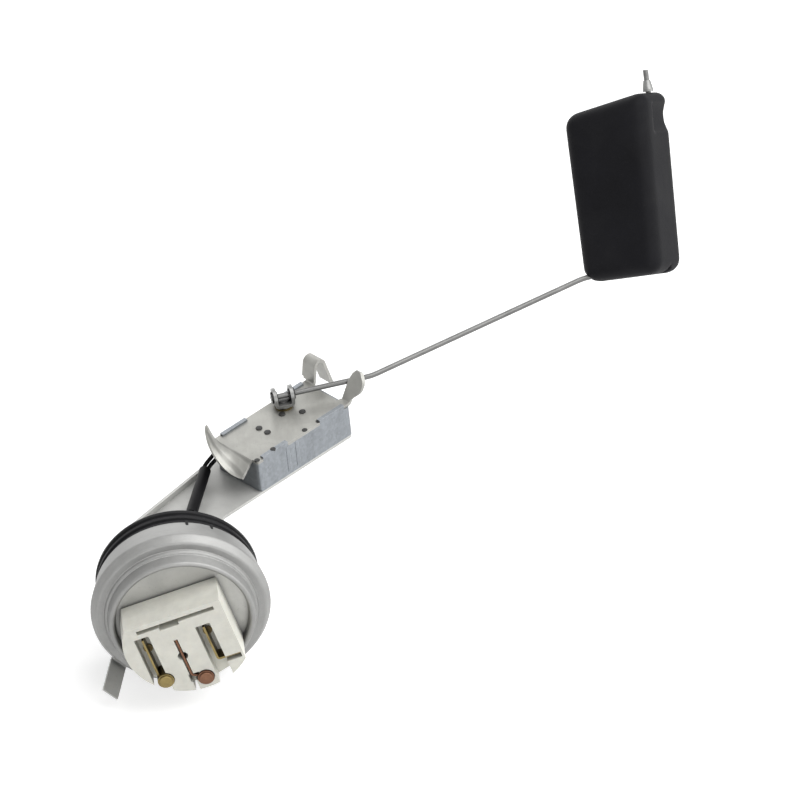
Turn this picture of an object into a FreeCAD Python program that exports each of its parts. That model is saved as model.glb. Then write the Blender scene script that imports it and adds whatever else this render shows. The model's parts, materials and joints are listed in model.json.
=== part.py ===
"""Fuel level sender for the side of a tank.

A drawn steel cap with a nylon three-way socket closes the tank's collar. Behind it a steel
bracket carries the sender housing, where the pivot shaft turns a wiper over a wire-wound
former. The bent wire arm carries a foam float and swings between two horns of the bearing
plate.

Row frame, in millimetres: +X runs along the pivot shaft, +Y into the tank along the cap's
axis, +Z is up. The origin is the centre of the plane on which the cap's skirt seats.
"""
import FreeCAD, Part

import math
import os

Vector = FreeCAD.Vector

SIZES = [
    # The cap, drawn from one sheet
    ("cap_sheet", 0.8, "sheet of the cap"),
    ("skirt_depth", 14.0, "front land to the skirt's rear edge"),
    ("skirt_taper", 2.4, "rear edge of the skirt inside its widest"),
    ("skirt_radius_front", 34.8, "outside of the skirt at its widest"),
    ("land_setback", 1.9, "outer corner of the land inside the skirt's widest"),
    ("land_width", 3.0, "width of the front land"),
    ("shoulder_rise", 1.4, "step from the land up to the bead's shoulder"),
    ("shoulder_width", 1.2, "shoulder between the land and the bead"),
    ("bead_width", 2.8, "width of the bead"),
    ("bead_rise", 6.4, "crown of the bead above the land"),
    ("recess_rise", 2.0, "recess floor above the land"),
    ("tab_width", 7.4, "locating tab on the rim"),
    ("tab_rise", 15.0, "tab beyond its bend"),
    ("tab_lean", 66.0, "lean of the tab towards the front"),
    ("tab_depth", 4.5, "front of the tab behind the land"),
    ("tab_reach", 2.4, "bend of the tab beyond the skirt"),
    ("tab_turn", 228.0, "direction of the tab round the axis, from +X towards -Z"),
    # The gasket inside the skirt
    ("gasket_inset", 1.0, "barrel of the gasket inside the skirt's rear edge"),
    ("gasket_wall", 3.6, "wall of the gasket's barrel"),
    ("gasket_length", 24.6, "length of the gasket along the axis"),
    ("gasket_rib", 0.9, "height of the gasket's ribs"),
    ("gasket_rib_pitch", 3.4, "distance between the ribs"),
    ("gasket_rib_start", 1.6, "middle of the first rib behind the skirt's rear edge"),
    ("gasket_rib_crest", 1.4, "width of a rib's crest"),
    ("gasket_rib_foot", 2.2, "width of a rib's foot"),
    # The nylon socket
    ("socket_clearance", 1.1, "room between the socket and the wall of the recess"),
    ("socket_offset", 0.8, "socket's centre below the cap's axis"),
    ("socket_height", 15.4, "height above the recess floor"),
    ("socket_turn", 14.2, "mouth direction, turned from -X towards -Z"),
    ("socket_back", 12.9, "flat back behind the axis"),
    ("socket_side", 17.7, "flat side beside the axis"),
    ("socket_wall", 2.0, "wall behind the key slot"),
    ("key_slot_width", 1.7, "key slot along the back wall"),
    ("key_slot_depth", 9.0, "depth of the key slot"),
    ("key_notch_width", 8.0, "polarising notch in the key slot"),
    ("key_notch_reach", 3.0, "polarising notch towards the mouth"),
    ("trough_width", 6.0, "width of the outer terminal troughs"),
    ("trough_depth", 6.0, "depth of the terminal troughs"),
    ("trough_offset", 11.9, "outer troughs beside the centre blade"),
    ("blade_offset", -4.2, "centre blade beside the cap's axis"),
    ("blade_slot", 1.6, "width of the centre slot"),
    ("key_slot_signal_end", 0.8, "key slot inside the socket's side at the signal terminal"),
    ("key_slot_warning_end", 3.2, "key slot inside the socket's side at the warning terminal"),
    ("signal_trough_start", -7.2, "closed end of the signal trough, from the socket's centre"),
    ("warning_trough_start", -4.0, "closed end of the warning trough, from the socket's centre"),
    ("blade_slot_start", -1.4, "closed end of the centre slot, from the socket's centre"),
    ("trough_corner", 0.6, "corners of the terminal troughs"),
    ("formed_end_room", 0.25, "room round the terminals' formed ends"),
    ("seat_room", 0.2, "room round the terminals' seats on their studs"),
    ("signal_start", -5.5, "start of the signal terminal, from the socket's centre"),
    ("ground_start", -1.0, "start of the centre blade, from the socket's centre"),
    ("ground_bend", 17.6, "bend of the centre blade, from the socket's centre"),
    ("ground_end", 19.0, "end of the centre blade, from the socket's centre"),
    ("ground_reach", 2.4, "end of the centre blade beside its run"),
    ("warning_start", -2.5, "start of the warning terminal, from the socket's centre"),
    ("warning_bend", 14.6, "turned end of the warning terminal, from the socket's centre"),
    ("warning_inset", 1.2, "turned end of the warning terminal inside the socket's side"),
    ("bend_room_behind", 1.2, "room behind the centre blade's bend"),
    ("bend_room_ahead", 1.0, "room ahead of the centre blade's end"),
    ("terminal_rise", 0.6, "formed ends above the terminals, and terminals below the face"),
    ("seal_thickness", 0.8, "rubber seal under the socket"),
    # Terminals and their studs
    ("terminal_thickness", 0.8, "sheet of the terminals"),
    ("terminal_width", 3.6, "width of the outer terminals"),
    ("terminal_end_radius", 3.2, "formed end of the outer terminals"),
    ("stud_radius", 1.4, "riveted terminal studs"),
    ("stud_head_radius", 2.4, "heads of the studs"),
    ("stud_head_height", 0.9, "height of the stud heads"),
    ("bush_radius", 2.3, "insulating bushes in the cap"),
    ("bush_flange_radius", 3.4, "flange of the insulating bushes"),
    ("bush_flange", 0.8, "thickness of the bush flange"),
]

SIZES += [
    # The bracket between the cap and the sender housing
    ("bracket_sheet", 1.2, "sheet of the bracket"),
    ("bracket_height", 11.1, "bracket's upper face above the cap's axis"),
    ("bracket_side_far", 20.6, "upper edge of the foot strip, along Z"),
    ("bracket_side_near", 18.8, "lower edge of the foot strip, along Z"),
    ("bracket_foot_depth", 9.0, "foot flange on the cap"),
    ("bracket_shoulder", 36.0, "end of the straight upper edge behind the land"),
    ("bracket_waist", 4.0, "extra width of the bracket beside the housing"),
    ("bracket_flange", 2.6, "turned edge of the bracket"),
    # The sender housing, in its own frame along the bracket
    ("housing_tilt", 51.5, "housing turned down from the cap's axis"),
    ("housing_depth", 54.7, "near upper corner of the housing behind the land"),
    ("housing_drop", 36.5, "near upper corner of the housing below the cap's axis"),
    ("housing_length", 49.4, "housing along its long side"),
    ("housing_width", 24.6, "housing across"),
    ("housing_height", 14.5, "bearing plate's upper face above the bracket"),
    ("cover_sheet", 0.8, "sheet of the cover"),
    ("plate_sheet", 1.2, "sheet of the bearing plate"),
    ("cover_corner", 1.6, "outer corner radius of the cover"),
    ("fold_length", 13.0, "length of the folded tabs along the near edge"),
    ("fold_reach", 1.7, "folded tabs over the bearing plate"),
    ("fold_inset", 1.5, "folded tabs from the housing's ends"),
    ("fold_gap", 0.1, "clearance round the folded tabs"),
    ("near_horn_width", 7.8, "stop horn across its blade"),
    ("near_horn_height", 13.6, "stop horn along its slope"),
    ("near_horn_lean", 33.0, "lean of the stop horn away from the housing"),
    ("far_horn_width", 6.8, "arched horn across its strip"),
    ("far_horn_height", 9.2, "crest of the arched horn above the plate"),
    ("far_horn_reach", 2.3, "arched horn beyond the far side of the housing"),
    ("far_horn_drop", 4.9, "free leg of the arched horn below the plate's top"),
    ("horn_bend", 0.7, "inside radius of the horns' bends"),
    ("guard_start", 3.0, "start of the lead guard from the near side"),
    ("guard_reach", 8.2, "lead guard beyond the housing's end"),
    ("guard_margin", 1.2, "gap between the lead guard and the far side"),
    # The pivot
    ("pivot_length", 31.9, "pivot from the lead end of the housing"),
    ("pivot_width", 18.9, "pivot from the near side of the housing"),
    ("shaft_radius", 2.0, "pivot shaft"),
    ("running_clearance", 0.05, "radial clearance of the shaft in its bushes"),
    ("pivot_bush_radius", 3.4, "bearing bush in the plate"),
    ("pivot_bush_flange_radius", 3.7, "flange of the bearing bush"),
    ("pivot_bush_flange", 0.8, "thickness of the bush flange"),
    ("washer_thickness", 0.5, "spring washer under the arm clip"),
    ("clip_sheet", 1.3, "sheet of the arm clip"),
    ("clip_width", 7.6, "width of the arm clip"),
    ("clip_span", 8.0, "arm clip along the wire"),
    ("clip_height", 5.8, "cheeks of the arm clip above its base"),
    ("wire_height", 5.0, "arm wire above the bearing plate"),
    ("axial_play", 0.3, "gap between turning and standing faces"),
    # Resistor former and wiper inside the housing
    ("former_start", 4.6, "resistor former from the lead end"),
    ("former_length", 9.0, "resistor former along the housing"),
    ("former_margin", 2.4, "resistor former from the housing's sides"),
    ("former_height", 4.2, "height of the former's base"),
    ("winding_width", 4.0, "winding along the housing"),
    ("winding_height", 2.4, "height of the winding over the former"),
    ("wiper_width", 4.4, "width of the wiper strip"),
    ("wiper_sheet", 0.5, "thickness of the wiper strip"),
    ("wiper_hub_radius", 3.6, "collar of the wiper on the shaft"),
    ("wiper_hub_height", 3.0, "height of the wiper's collar"),
    ("wiper_turn", 176.0, "direction of the wiper at rest, from the housing's long side"),
    ("wiper_reach", 22.5, "contact of the wiper from the pivot"),
    ("contact_radius", 1.6, "contact button of the wiper"),
    # The float arm, its places counted from the pivot in the housing's frame
    ("wire_radius", 1.05, "arm wire"),
    ("arm_tail", 4.6, "wire end behind the pivot"),
    ("arm_knee_length", 31.2, "first bend of the arm, along the housing"),
    ("arm_knee_width", -17.8, "first bend of the arm, across the housing"),
    ("arm_bend_radius", 14.0, "radius of the arm's bends"),
    # The float, in its own frame
    ("float_lean", 35.9, "float's axis turned from the pivot's axis"),
    ("float_twist", 27.9, "float turned about its own axis"),
    ("float_x", 30.0, "lower near corner of the float, along X"),
    ("float_depth", 138.5, "lower near corner of the float behind the land"),
    ("float_drop", 172.1, "lower near corner of the float below the cap's axis"),
    ("float_width_foot", 32.9, "front face at the float's foot"),
    ("float_width_head", 36.8, "front face at the float's head"),
    ("float_thickness", 25.8, "float from front to back"),
    ("float_height_left", 66.1, "left edge of the float"),
    ("float_height_right", 72.0, "right edge of the float"),
    ("float_corner", 5.0, "upright corners of the float"),
    ("float_edge", 3.0, "upper and lower edges of the float"),
    ("float_bore_width", 32.2, "bore from the float's left side"),
    ("float_bore_depth", 15.6, "bore from the float's front"),
    ("float_bore_clearance", 0.1, "wire in the float's bore, radial"),
    ("float_groove", 3.5, "wire groove under the float"),
    ("float_notch_height", 15.0, "notch at the float's head"),
    ("float_notch_depth", 6.0, "depth of the notch"),
    ("retainer_radius", 2.1, "foot of the wire retainer"),
    ("retainer_height", 4.4, "height of the wire retainer"),
    ("arm_tip", 8.2, "wire end above the float"),
    ("horn_gap", 0.6, "relief beside the horns' roots"),
    ("horn_clearance", 0.38, "resting arm from the stop horn"),
    ("arch_span", 8.6, "free end of the arched horn beyond the housing's end"),
    ("lug_thickness", 0.6, "solder lugs"),
    # Leads
    ("lead_window_low", -13.0, "lower edge of the bracket's lead window, along Z"),
    ("lead_window_high", 2.4, "upper edge of the bracket's lead window, along Z"),
    ("lug_reach", 6.0, "solder lugs beyond their studs"),
    ("sleeve_x", 16.0, "sleeve above the cap's axis, along X"),
    ("sleeve_start", 40.0, "start of the sleeve behind the land"),
    ("sleeve_end", 67.0, "end of the sleeve behind the land"),
    ("sleeve_z", -8.5, "start of the sleeve, along Z"),
    ("sleeve_z_end", -16.0, "end of the sleeve, along Z"),
    ("lead_slot_width", 6.0, "slot for the leads in the cover's end"),
    ("lead_entry", 21.0, "middle of the lead slot, across the housing"),
    ("lead_radius", 0.8, "insulated leads"),
    ("sleeve_radius", 2.3, "sleeve round the leads"),
    ("sleeve_bore", 1.75, "bore of the sleeve"),
]

document = FreeCAD.newDocument("fuel_level_sender")
sheet = document.addObject("Spreadsheet::Sheet", "sizes")
for row, (alias, value, meaning) in enumerate(SIZES, start=1):
    sheet.set("A%d" % row, alias)
    sheet.set("B%d" % row, "%s" % value)
    sheet.set("C%d" % row, meaning)
    sheet.setAlias("B%d" % row, alias)
document.recompute()


def size(alias):
    """A driving dimension, read from its cell."""
    return float(sheet.get(alias))


def corner_arc(before, corner, after, radius):
    """Start, middle and end of the arc that rounds one corner of a path."""
    back = (before - corner).normalize()
    ahead = (after - corner).normalize()
    half = back.getAngle(ahead) / 2
    reach = radius / math.tan(half)
    centre = corner + (back + ahead).normalize() * (radius / math.sin(half))
    middle = centre + (corner - centre).normalize() * radius
    return corner + back * reach, middle, corner + ahead * reach


def edges_of(points, closed):
    """Lines and arcs through points (x, y, z or x, y) whose last value is the corner's radius."""
    places = [Vector(*point[:-1]) for point in points]
    count = len(points)
    starts = []
    ends = []
    arcs = []
    for index, point in enumerate(points):
        inner = closed or 0 < index < count - 1
        if inner and point[-1] > 0:
            before = places[index - 1]
            after = places[(index + 1) % count]
            first, middle, last = corner_arc(before, places[index], after, point[-1])
            arcs.append(Part.Arc(first, middle, last))
            starts.append(first)
            ends.append(last)
        else:
            arcs.append(None)
            starts.append(places[index])
            ends.append(places[index])
    geometry = []
    for index in range(count):
        if arcs[index]:
            geometry.append(arcs[index])
        if index < count - 1 or closed:
            target = starts[(index + 1) % count]
            if ends[index].distanceToPoint(target) > 1e-6:
                geometry.append(Part.LineSegment(ends[index], target))
    return geometry


def outline(*points):
    """A closed outline from (x, y, corner radius) points."""
    return edges_of([(x, y, 0.0, radius) for x, y, radius in points], True)


def rectangle(low_x, low_y, high_x, high_y, radius=0.0):
    """A rectangle with rounded corners."""
    return outline((low_x, low_y, radius), (high_x, low_y, radius),
                   (high_x, high_y, radius), (low_x, high_y, radius))


def wire_of(geometry):
    """A wire of drawn geometry."""
    return Part.Wire([piece.toShape() for piece in geometry])


def circle(x, y, radius):
    """A full circle."""
    return [Part.Circle(Vector(x, y, 0), Vector(0, 0, 1), radius)]


def folded(points, thickness):
    """The closed section of a folded sheet.

    The (x, y, inside radius) points follow one face, and the sheet lies to its left.
    """
    places = [Vector(x, y, 0) for x, y, radius in points]
    near = []
    far = []
    for index, (x, y, radius) in enumerate(points):
        ahead = places[min(index + 1, len(points) - 1)] - places[min(index, len(points) - 2)]
        back = places[max(index, 1)] - places[max(index - 1, 0)]
        ahead.normalize()
        back.normalize()
        left = Vector(-back.y - ahead.y, back.x + ahead.x, 0).normalize()
        turn = back.x * ahead.y - back.y * ahead.x
        reach = thickness / math.sqrt((1 + back.dot(ahead)) / 2)
        shifted = places[index] + left * reach
        round_near = radius + thickness if turn > 0 and radius > 0 else radius
        round_far = radius if turn > 0 or radius == 0 else radius + thickness
        near.append((x, y, round_near))
        far.append((shifted.x, shifted.y, round_far))
    return outline(*(near + far[::-1]))


def new_body(name, frame=None):
    """An empty body that carries the sub-part's name."""
    body = document.addObject("PartDesign::Body", name)
    body.Label = name
    if frame:
        body.Placement = frame
    return body


def sketch_on(body, plane, loops, height="0"):
    """A sketch on one of the body's own origin planes, raised by an expression."""
    drawing = body.newObject("Sketcher::SketchObject", body.Name + "_sketch")
    support = [item for item in body.Origin.OriginFeatures if item.Role == plane + "_Plane"][0]
    drawing.AttachmentSupport = (support, [""])
    drawing.MapMode = "FlatFace"
    drawing.setExpression("AttachmentOffset.Base.z", height)
    for loop in loops:
        drawing.addGeometry(loop, False)
    return drawing


def extrude(body, kind, drawing, length, reverse):
    """A Pad or a Pocket of a sketch, its length an expression."""
    feature = body.newObject("PartDesign::" + kind, body.Name + "_" + kind.lower())
    feature.Profile = drawing
    feature.setExpression("Length", length)
    feature.Reversed = reverse
    return feature


def pad(body, plane, loops, length, height="0", reverse=False):
    """Material along the plane's normal."""
    return extrude(body, "Pad", sketch_on(body, plane, loops, height), length, reverse)


def pocket(body, plane, loops, length, height="0", reverse=False):
    """A cut against the plane's normal, or along it when reversed."""
    return extrude(body, "Pocket", sketch_on(body, plane, loops, height), length, reverse)


def revolve(body, loops):
    """A full turn of a section in the body's XY plane round its own Y axis."""
    drawing = sketch_on(body, "XY", loops)
    feature = body.newObject("PartDesign::Revolution", body.Name + "_turned")
    feature.Profile = drawing
    feature.ReferenceAxis = (drawing, ["V_Axis"])
    feature.Angle = 360
    return feature


def turned_pad(body, loop, turn, width):
    """Material each side of a plane through the body's Y axis, turned from +X towards -Z."""
    drawing = sketch_on(body, "XY", [loop])
    spin = FreeCAD.Rotation(Vector(0, 1, 0), turn)
    drawing.setExpression("AttachmentOffset.Base.z", None)
    drawing.AttachmentOffset = FreeCAD.Placement(spin.multVec(Vector(0, 0, -width / 2)), spin)
    feature = body.newObject("PartDesign::Pad", body.Name + "_turned_pad")
    feature.Profile = drawing
    feature.Length = width
    return feature


def loft_along(body, sections):
    """Material through sections in planes across the body's own Y axis."""
    drawings = [sketch_on(body, "XZ", [loop], "-%s" % place) for place, loop in sections]
    feature = body.newObject("PartDesign::AdditiveLoft", body.Name + "_loft")
    feature.Profile = drawings[0]
    feature.Sections = drawings[1:]
    return feature


def frame_at(origin, along, across, up):
    """A placement whose local axes point along the given directions."""
    return FreeCAD.Placement(origin, FreeCAD.Rotation(along, across, up, "XYZ"))


def round_path(points):
    """A wire of straight runs and tangent arcs through (place, radius) pairs."""
    listed = [(place.x, place.y, place.z, radius) for place, radius in points]
    return wire_of(edges_of(listed, False))


def tube(path, radius):
    """A round rod along a path."""
    start = path.OrderedEdges[0]
    direction = start.tangentAt(start.FirstParameter)
    section = Part.Wire(Part.makeCircle(radius, start.valueAt(start.FirstParameter), direction))
    return path.makePipeShell([section], True, False)


def add_shape(name, shape):
    """A sub-part whose form no sketch feature fits."""
    item = document.addObject("Part::Feature", name)
    item.Label = name
    item.Shape = shape
    return item


LAND = -size("skirt_depth")
SKIRT = size("skirt_radius_front")
SKIRT_REAR = SKIRT - size("skirt_taper")
LAND_OUTER = SKIRT - size("land_setback")
LAND_INNER = LAND_OUTER - size("land_width")
BEAD_OUTER = LAND_INNER - size("shoulder_width")
RECESS = BEAD_OUTER - size("bead_width")
BOSS = RECESS - size("socket_clearance")
GASKET_OUTER = SKIRT_REAR - size("cap_sheet") - size("gasket_inset")
GASKET_INNER = GASKET_OUTER - size("gasket_wall")
GASKET_RIBS = 3
FLOOR = LAND - size("recess_rise")
FLOOR_BACK = FLOOR + size("cap_sheet")

TURN = math.radians(size("socket_turn"))
MOUTH = Vector(-math.cos(TURN), 0, -math.sin(TURN))
SIDEWAYS = Vector(math.sin(TURN), 0, -math.cos(TURN))
OUTWARD = Vector(0, -1, 0)
SOCKET_FRAME = frame_at(Vector(0, FLOOR, -size("socket_offset")), MOUTH, SIDEWAYS, OUTWARD)

TILT = math.radians(size("housing_tilt"))
ALONG = Vector(0, math.cos(TILT), -math.sin(TILT))
ACROSS = Vector(0, math.sin(TILT), math.cos(TILT))
UPWARD = Vector(1, 0, 0)
HOUSING_ORIGIN = Vector(size("bracket_height"), LAND + size("housing_depth"),
                        -size("housing_drop"))
HOUSING_FRAME = frame_at(HOUSING_ORIGIN, ALONG, ACROSS, UPWARD)
PLATE_TOP = size("housing_height")
PLATE_UNDER = PLATE_TOP - size("plate_sheet")

ARM_TURN = math.degrees(math.atan2(size("arm_knee_width"), size("arm_knee_length")))
PIVOT_FRAME = HOUSING_FRAME.multiply(FreeCAD.Placement(
    Vector(size("pivot_length"), size("pivot_width"), 0),
    FreeCAD.Rotation(Vector(0, 0, 1), ARM_TURN)))

LEAN = math.radians(size("float_lean"))
TWIST = math.radians(size("float_twist"))
FLOAT_UP = Vector(math.cos(LEAN), math.sin(LEAN), 0)
FLOAT_LEVEL = Vector(-math.sin(LEAN), math.cos(LEAN), 0)
DOWN = Vector(0, 0, -1)
FLOAT_RIGHT = DOWN * math.cos(TWIST) - FLOAT_LEVEL * math.sin(TWIST)
FLOAT_BACK = FLOAT_LEVEL * math.cos(TWIST) + DOWN * math.sin(TWIST)
FLOAT_FRAME = frame_at(
    Vector(size("float_x"), LAND + size("float_depth"), -size("float_drop")),
    FLOAT_RIGHT, FLOAT_BACK, FLOAT_UP)

STUDS = {"signal": (2.0, size("blade_offset") - size("trough_offset")),
         "ground": (7.0, size("blade_offset")),
         "warning": (3.0, size("blade_offset") + size("trough_offset"))}


TERMINAL_ENDS = {"signal": (15.3, -14.2), "ground": (19.8, 0.6)}


def socket_place(along, across):
    """A point of the socket's plan in the cap's own plane, as (x, z)."""
    spot = MOUTH * along + SIDEWAYS * across
    return spot.x, spot.z - size("socket_offset")


def make_cap():
    """The cap: recess floor, bead, front land and skirt drawn from one sheet, with its tab."""
    body = new_body("cap")
    crown = LAND - size("bead_rise")
    shoulder = LAND - size("shoulder_rise")
    crest = size("bead_width") * 0.75
    revolve(body, [folded([
        (0, FLOOR, 0), (RECESS, FLOOR, 0.6), (RECESS, crown, 0.25), (RECESS + crest, crown, 0.25),
        (BEAD_OUTER, shoulder, 0.3), (LAND_INNER - size("shoulder_width") / 2, shoulder, 0.2),
        (LAND_INNER, LAND, 0.3), (LAND_OUTER, LAND, 0.5),
        (SKIRT, LAND + size("skirt_depth") / 4, 0.8), (SKIRT_REAR, 0, 0)], size("cap_sheet"))])
    front = LAND + size("tab_depth")
    root = SKIRT - 2 * size("cap_sheet")
    bend = root + size("tab_reach")
    lean = math.radians(size("tab_lean"))
    rise = size("tab_rise")
    turned_pad(body, folded([
        (root, front, 0), (bend, front, 1.0),
        (bend + rise * math.cos(lean), front - rise * math.sin(lean), 0)], size("cap_sheet")),
        size("tab_turn"), size("tab_width"))
    holes = [circle(*socket_place(*STUDS[name]), size("bush_radius")) for name in STUDS]
    pocket(body, "XZ", holes, "3 * sizes.cap_sheet",
           "sizes.skirt_depth + sizes.recess_rise + sizes.cap_sheet")
    return body


def make_gasket():
    """The tank gasket: a barrel against the cap's land, with sealing ribs behind the skirt."""
    body = new_body("gasket")
    inner = GASKET_INNER
    outer = GASKET_OUTER
    front = LAND + size("cap_sheet")
    back = front + size("gasket_length")
    pitch = size("gasket_rib_pitch")
    rib = size("gasket_rib")
    crest = size("gasket_rib_crest") / 2
    foot = size("gasket_rib_foot") / 2
    points = [(inner, front, 0.0), (outer, front, 0.6)]
    for index in range(GASKET_RIBS):
        ridge = size("gasket_rib_start") + pitch * index
        points += [(outer, ridge - foot, 0.2), (outer + rib, ridge - crest, 0.4),
                   (outer + rib, ridge + crest, 0.4), (outer, ridge + foot, 0.2)]
    points += [(outer - 0.6, back, 0.8), (inner, back, 0.5)]
    revolve(body, [outline(*points)])
    return body


def socket_outline(inset=0.0):
    """The socket's outline: a circle with a flat back and a flat side, drawn in by the inset."""
    radius = BOSS - inset
    back = size("socket_back") - inset
    side = size("socket_side") - inset
    left = -math.sqrt(radius ** 2 - back ** 2)
    mouth = math.sqrt(radius ** 2 - side ** 2)
    return [Part.LineSegment(Vector(-back, left, 0), Vector(-back, side, 0)),
            Part.LineSegment(Vector(-back, side, 0), Vector(mouth, side, 0)),
            Part.Arc(Vector(mouth, side, 0), Vector(radius * 0.8, -radius * 0.6, 0),
                     Vector(-back, left, 0))]


def make_seal():
    """The flat seal between the recess floor and the socket."""
    body = new_body("socket_seal", SOCKET_FRAME)
    holes = [circle(*STUDS[name], size("bush_flange_radius") - 0.6) for name in STUDS]
    pad(body, "XY", [socket_outline(size("seal_thickness"))] + holes, "sizes.seal_thickness")
    return body


def make_socket():
    """The nylon socket: a round boss with two flats, a key slot and three terminal troughs."""
    body = new_body("socket", SOCKET_FRAME)
    radius = BOSS
    back = size("socket_back")
    side = size("socket_side")
    pad(body, "XY", [socket_outline()], "sizes.socket_height - sizes.seal_thickness",
        "sizes.seal_thickness")
    top = "sizes.socket_height"
    slot = -back + size("socket_wall")
    blade = size("blade_offset")
    step = size("trough_offset")
    half = size("trough_width") / 2
    notch = size("key_notch_width") / 2
    pocket(body, "XY", [rectangle(slot, -side + size("key_slot_signal_end"),
                                  slot + size("key_slot_width"),
                                  side - size("key_slot_warning_end"))],
           "sizes.key_slot_depth", top)
    pocket(body, "XY", [rectangle(slot, blade - notch, slot + size("key_notch_reach"),
                                  blade + notch, 0.4)], "sizes.key_slot_depth", top)
    corner = size("trough_corner")
    for across, start in ((blade - step, size("signal_trough_start")),
                          (blade + step, size("warning_trough_start"))):
        pocket(body, "XY", [rectangle(start, across - half, radius, across + half, corner)],
               "sizes.trough_depth", top)
    for spot in TERMINAL_ENDS.values():
        pocket(body, "XY", [circle(*spot, size("terminal_end_radius") + size("formed_end_room"))],
               "sizes.trough_depth", top)
    pocket(body, "XY", [rectangle(size("ground_bend") - size("bend_room_behind"), blade - 1.3,
                                  size("ground_end") + size("bend_room_ahead"),
                                  blade + size("ground_reach") + corner)],
           "sizes.trough_depth", top)
    bend = size("warning_bend")
    thick = size("terminal_thickness")
    pocket(body, "XY", [rectangle(bend - thick, blade + step + half - 1.0,
                                  bend + 2 * thick, side - 0.9)], "sizes.trough_depth", top)
    slit = size("blade_slot") / 2
    pocket(body, "XY", [rectangle(size("blade_slot_start"), blade - slit, radius, blade + slit)],
           "sizes.trough_depth", top)
    seats = [circle(*STUDS[name], size("terminal_width") / 2 + size("seat_room")) for name in STUDS]
    pocket(body, "XY", seats, "sizes.trough_depth", top)
    holes = [circle(*STUDS[name], size("stud_radius") + 0.1) for name in STUDS]
    pocket(body, "XY", holes, "sizes.socket_height", top)
    return body


def make_terminals():
    """The three terminals, upright strips that follow the troughs, each with a rolled end."""
    thick = size("terminal_thickness")
    blade = size("blade_offset")
    step = size("trough_offset")
    base = "sizes.socket_height - sizes.trough_depth"
    made = []
    paths = {
        "signal": [(size("signal_start"), blade - step - thick / 2, 0),
                   (TERMINAL_ENDS["signal"][0] - 2.4, blade - step - thick / 2, 0)],
        "ground": [(size("ground_start"), blade - thick / 2, 0),
                   (size("ground_bend"), blade - thick / 2, 0.6),
                   (size("ground_end"), blade + size("ground_reach"), 0)],
        "warning": [(size("warning_start"), blade + step - thick / 2, 0),
                    (size("warning_bend"), blade + step - thick / 2, 0.6),
                    (size("warning_bend"), size("socket_side") - size("warning_inset"), 0)]}
    for name, path in paths.items():
        body = new_body("terminal_" + name, SOCKET_FRAME)
        pad(body, "XY", [folded(path, thick)], "sizes.trough_depth - sizes.terminal_rise", base)
        if name in TERMINAL_ENDS:
            outer = size("terminal_end_radius")
            pad(body, "XY", [circle(*TERMINAL_ENDS[name], outer),
                             circle(*TERMINAL_ENDS[name], outer - 1.5)],
                "sizes.trough_depth + sizes.terminal_rise", base)
        spot = STUDS[name]
        pad(body, "XY", [circle(*spot, size("terminal_width") / 2)], "sizes.terminal_thickness",
            base)
        made.append(body)
    return made


def rod(name, frame, radius, low, length):
    """A cylinder along its frame's third axis, sized by expressions."""
    item = document.addObject("Part::Cylinder", name)
    item.Label = name
    item.setExpression("Radius", radius)
    item.setExpression("Height", length)
    item.Placement = frame.multiply(FreeCAD.Placement(Vector(0, 0, low), FreeCAD.Rotation()))
    return item


def make_studs():
    """Terminal studs, headed behind the cap, and the insulating bushes that they pass through."""
    made = []
    trough = size("socket_height") - size("trough_depth")
    sheet_thick = size("cap_sheet")
    flange = size("bush_flange")
    tail = sheet_thick + flange + size("lug_thickness") + size("stud_head_height")
    for name, (along, across) in STUDS.items():
        place = FreeCAD.Placement(Vector(along, across, 0), FreeCAD.Rotation())
        spot = SOCKET_FRAME.multiply(place)
        stud = new_body("stud_" + name, spot)
        pad(stud, "XY", [circle(0, 0, size("stud_radius"))],
            "sizes.socket_height - sizes.trough_depth + sizes.cap_sheet + sizes.bush_flange"
            " + sizes.lug_thickness + sizes.stud_head_height", "%s" % -tail)
        pad(stud, "XY", [circle(0, 0, size("stud_head_radius"))], "sizes.stud_head_height",
            "%s" % -tail)
        bush = new_body("bush_" + name, spot)
        hole = circle(0, 0, size("stud_radius") + 0.02)
        pad(bush, "XY", [circle(0, 0, size("bush_radius") - 0.02), hole],
            "sizes.cap_sheet + sizes.seal_thickness", "-sizes.cap_sheet")
        pad(bush, "XY", [circle(0, 0, size("bush_flange_radius")), hole],
            "sizes.bush_flange", "%s" % -(sheet_thick + flange))
        made += [stud, bush]
    return made


BRACKET_FRAME = frame_at(Vector(size("bracket_height") - size("bracket_sheet"), 0, 0),
                         Vector(0, 1, 0), Vector(0, 0, 1), Vector(1, 0, 0))


def housing_point(along, across):
    """A point of the housing's plan in the bracket's plane, as (y, z)."""
    spot = HOUSING_ORIGIN + ALONG * along + ACROSS * across
    return spot.y, spot.z


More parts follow.
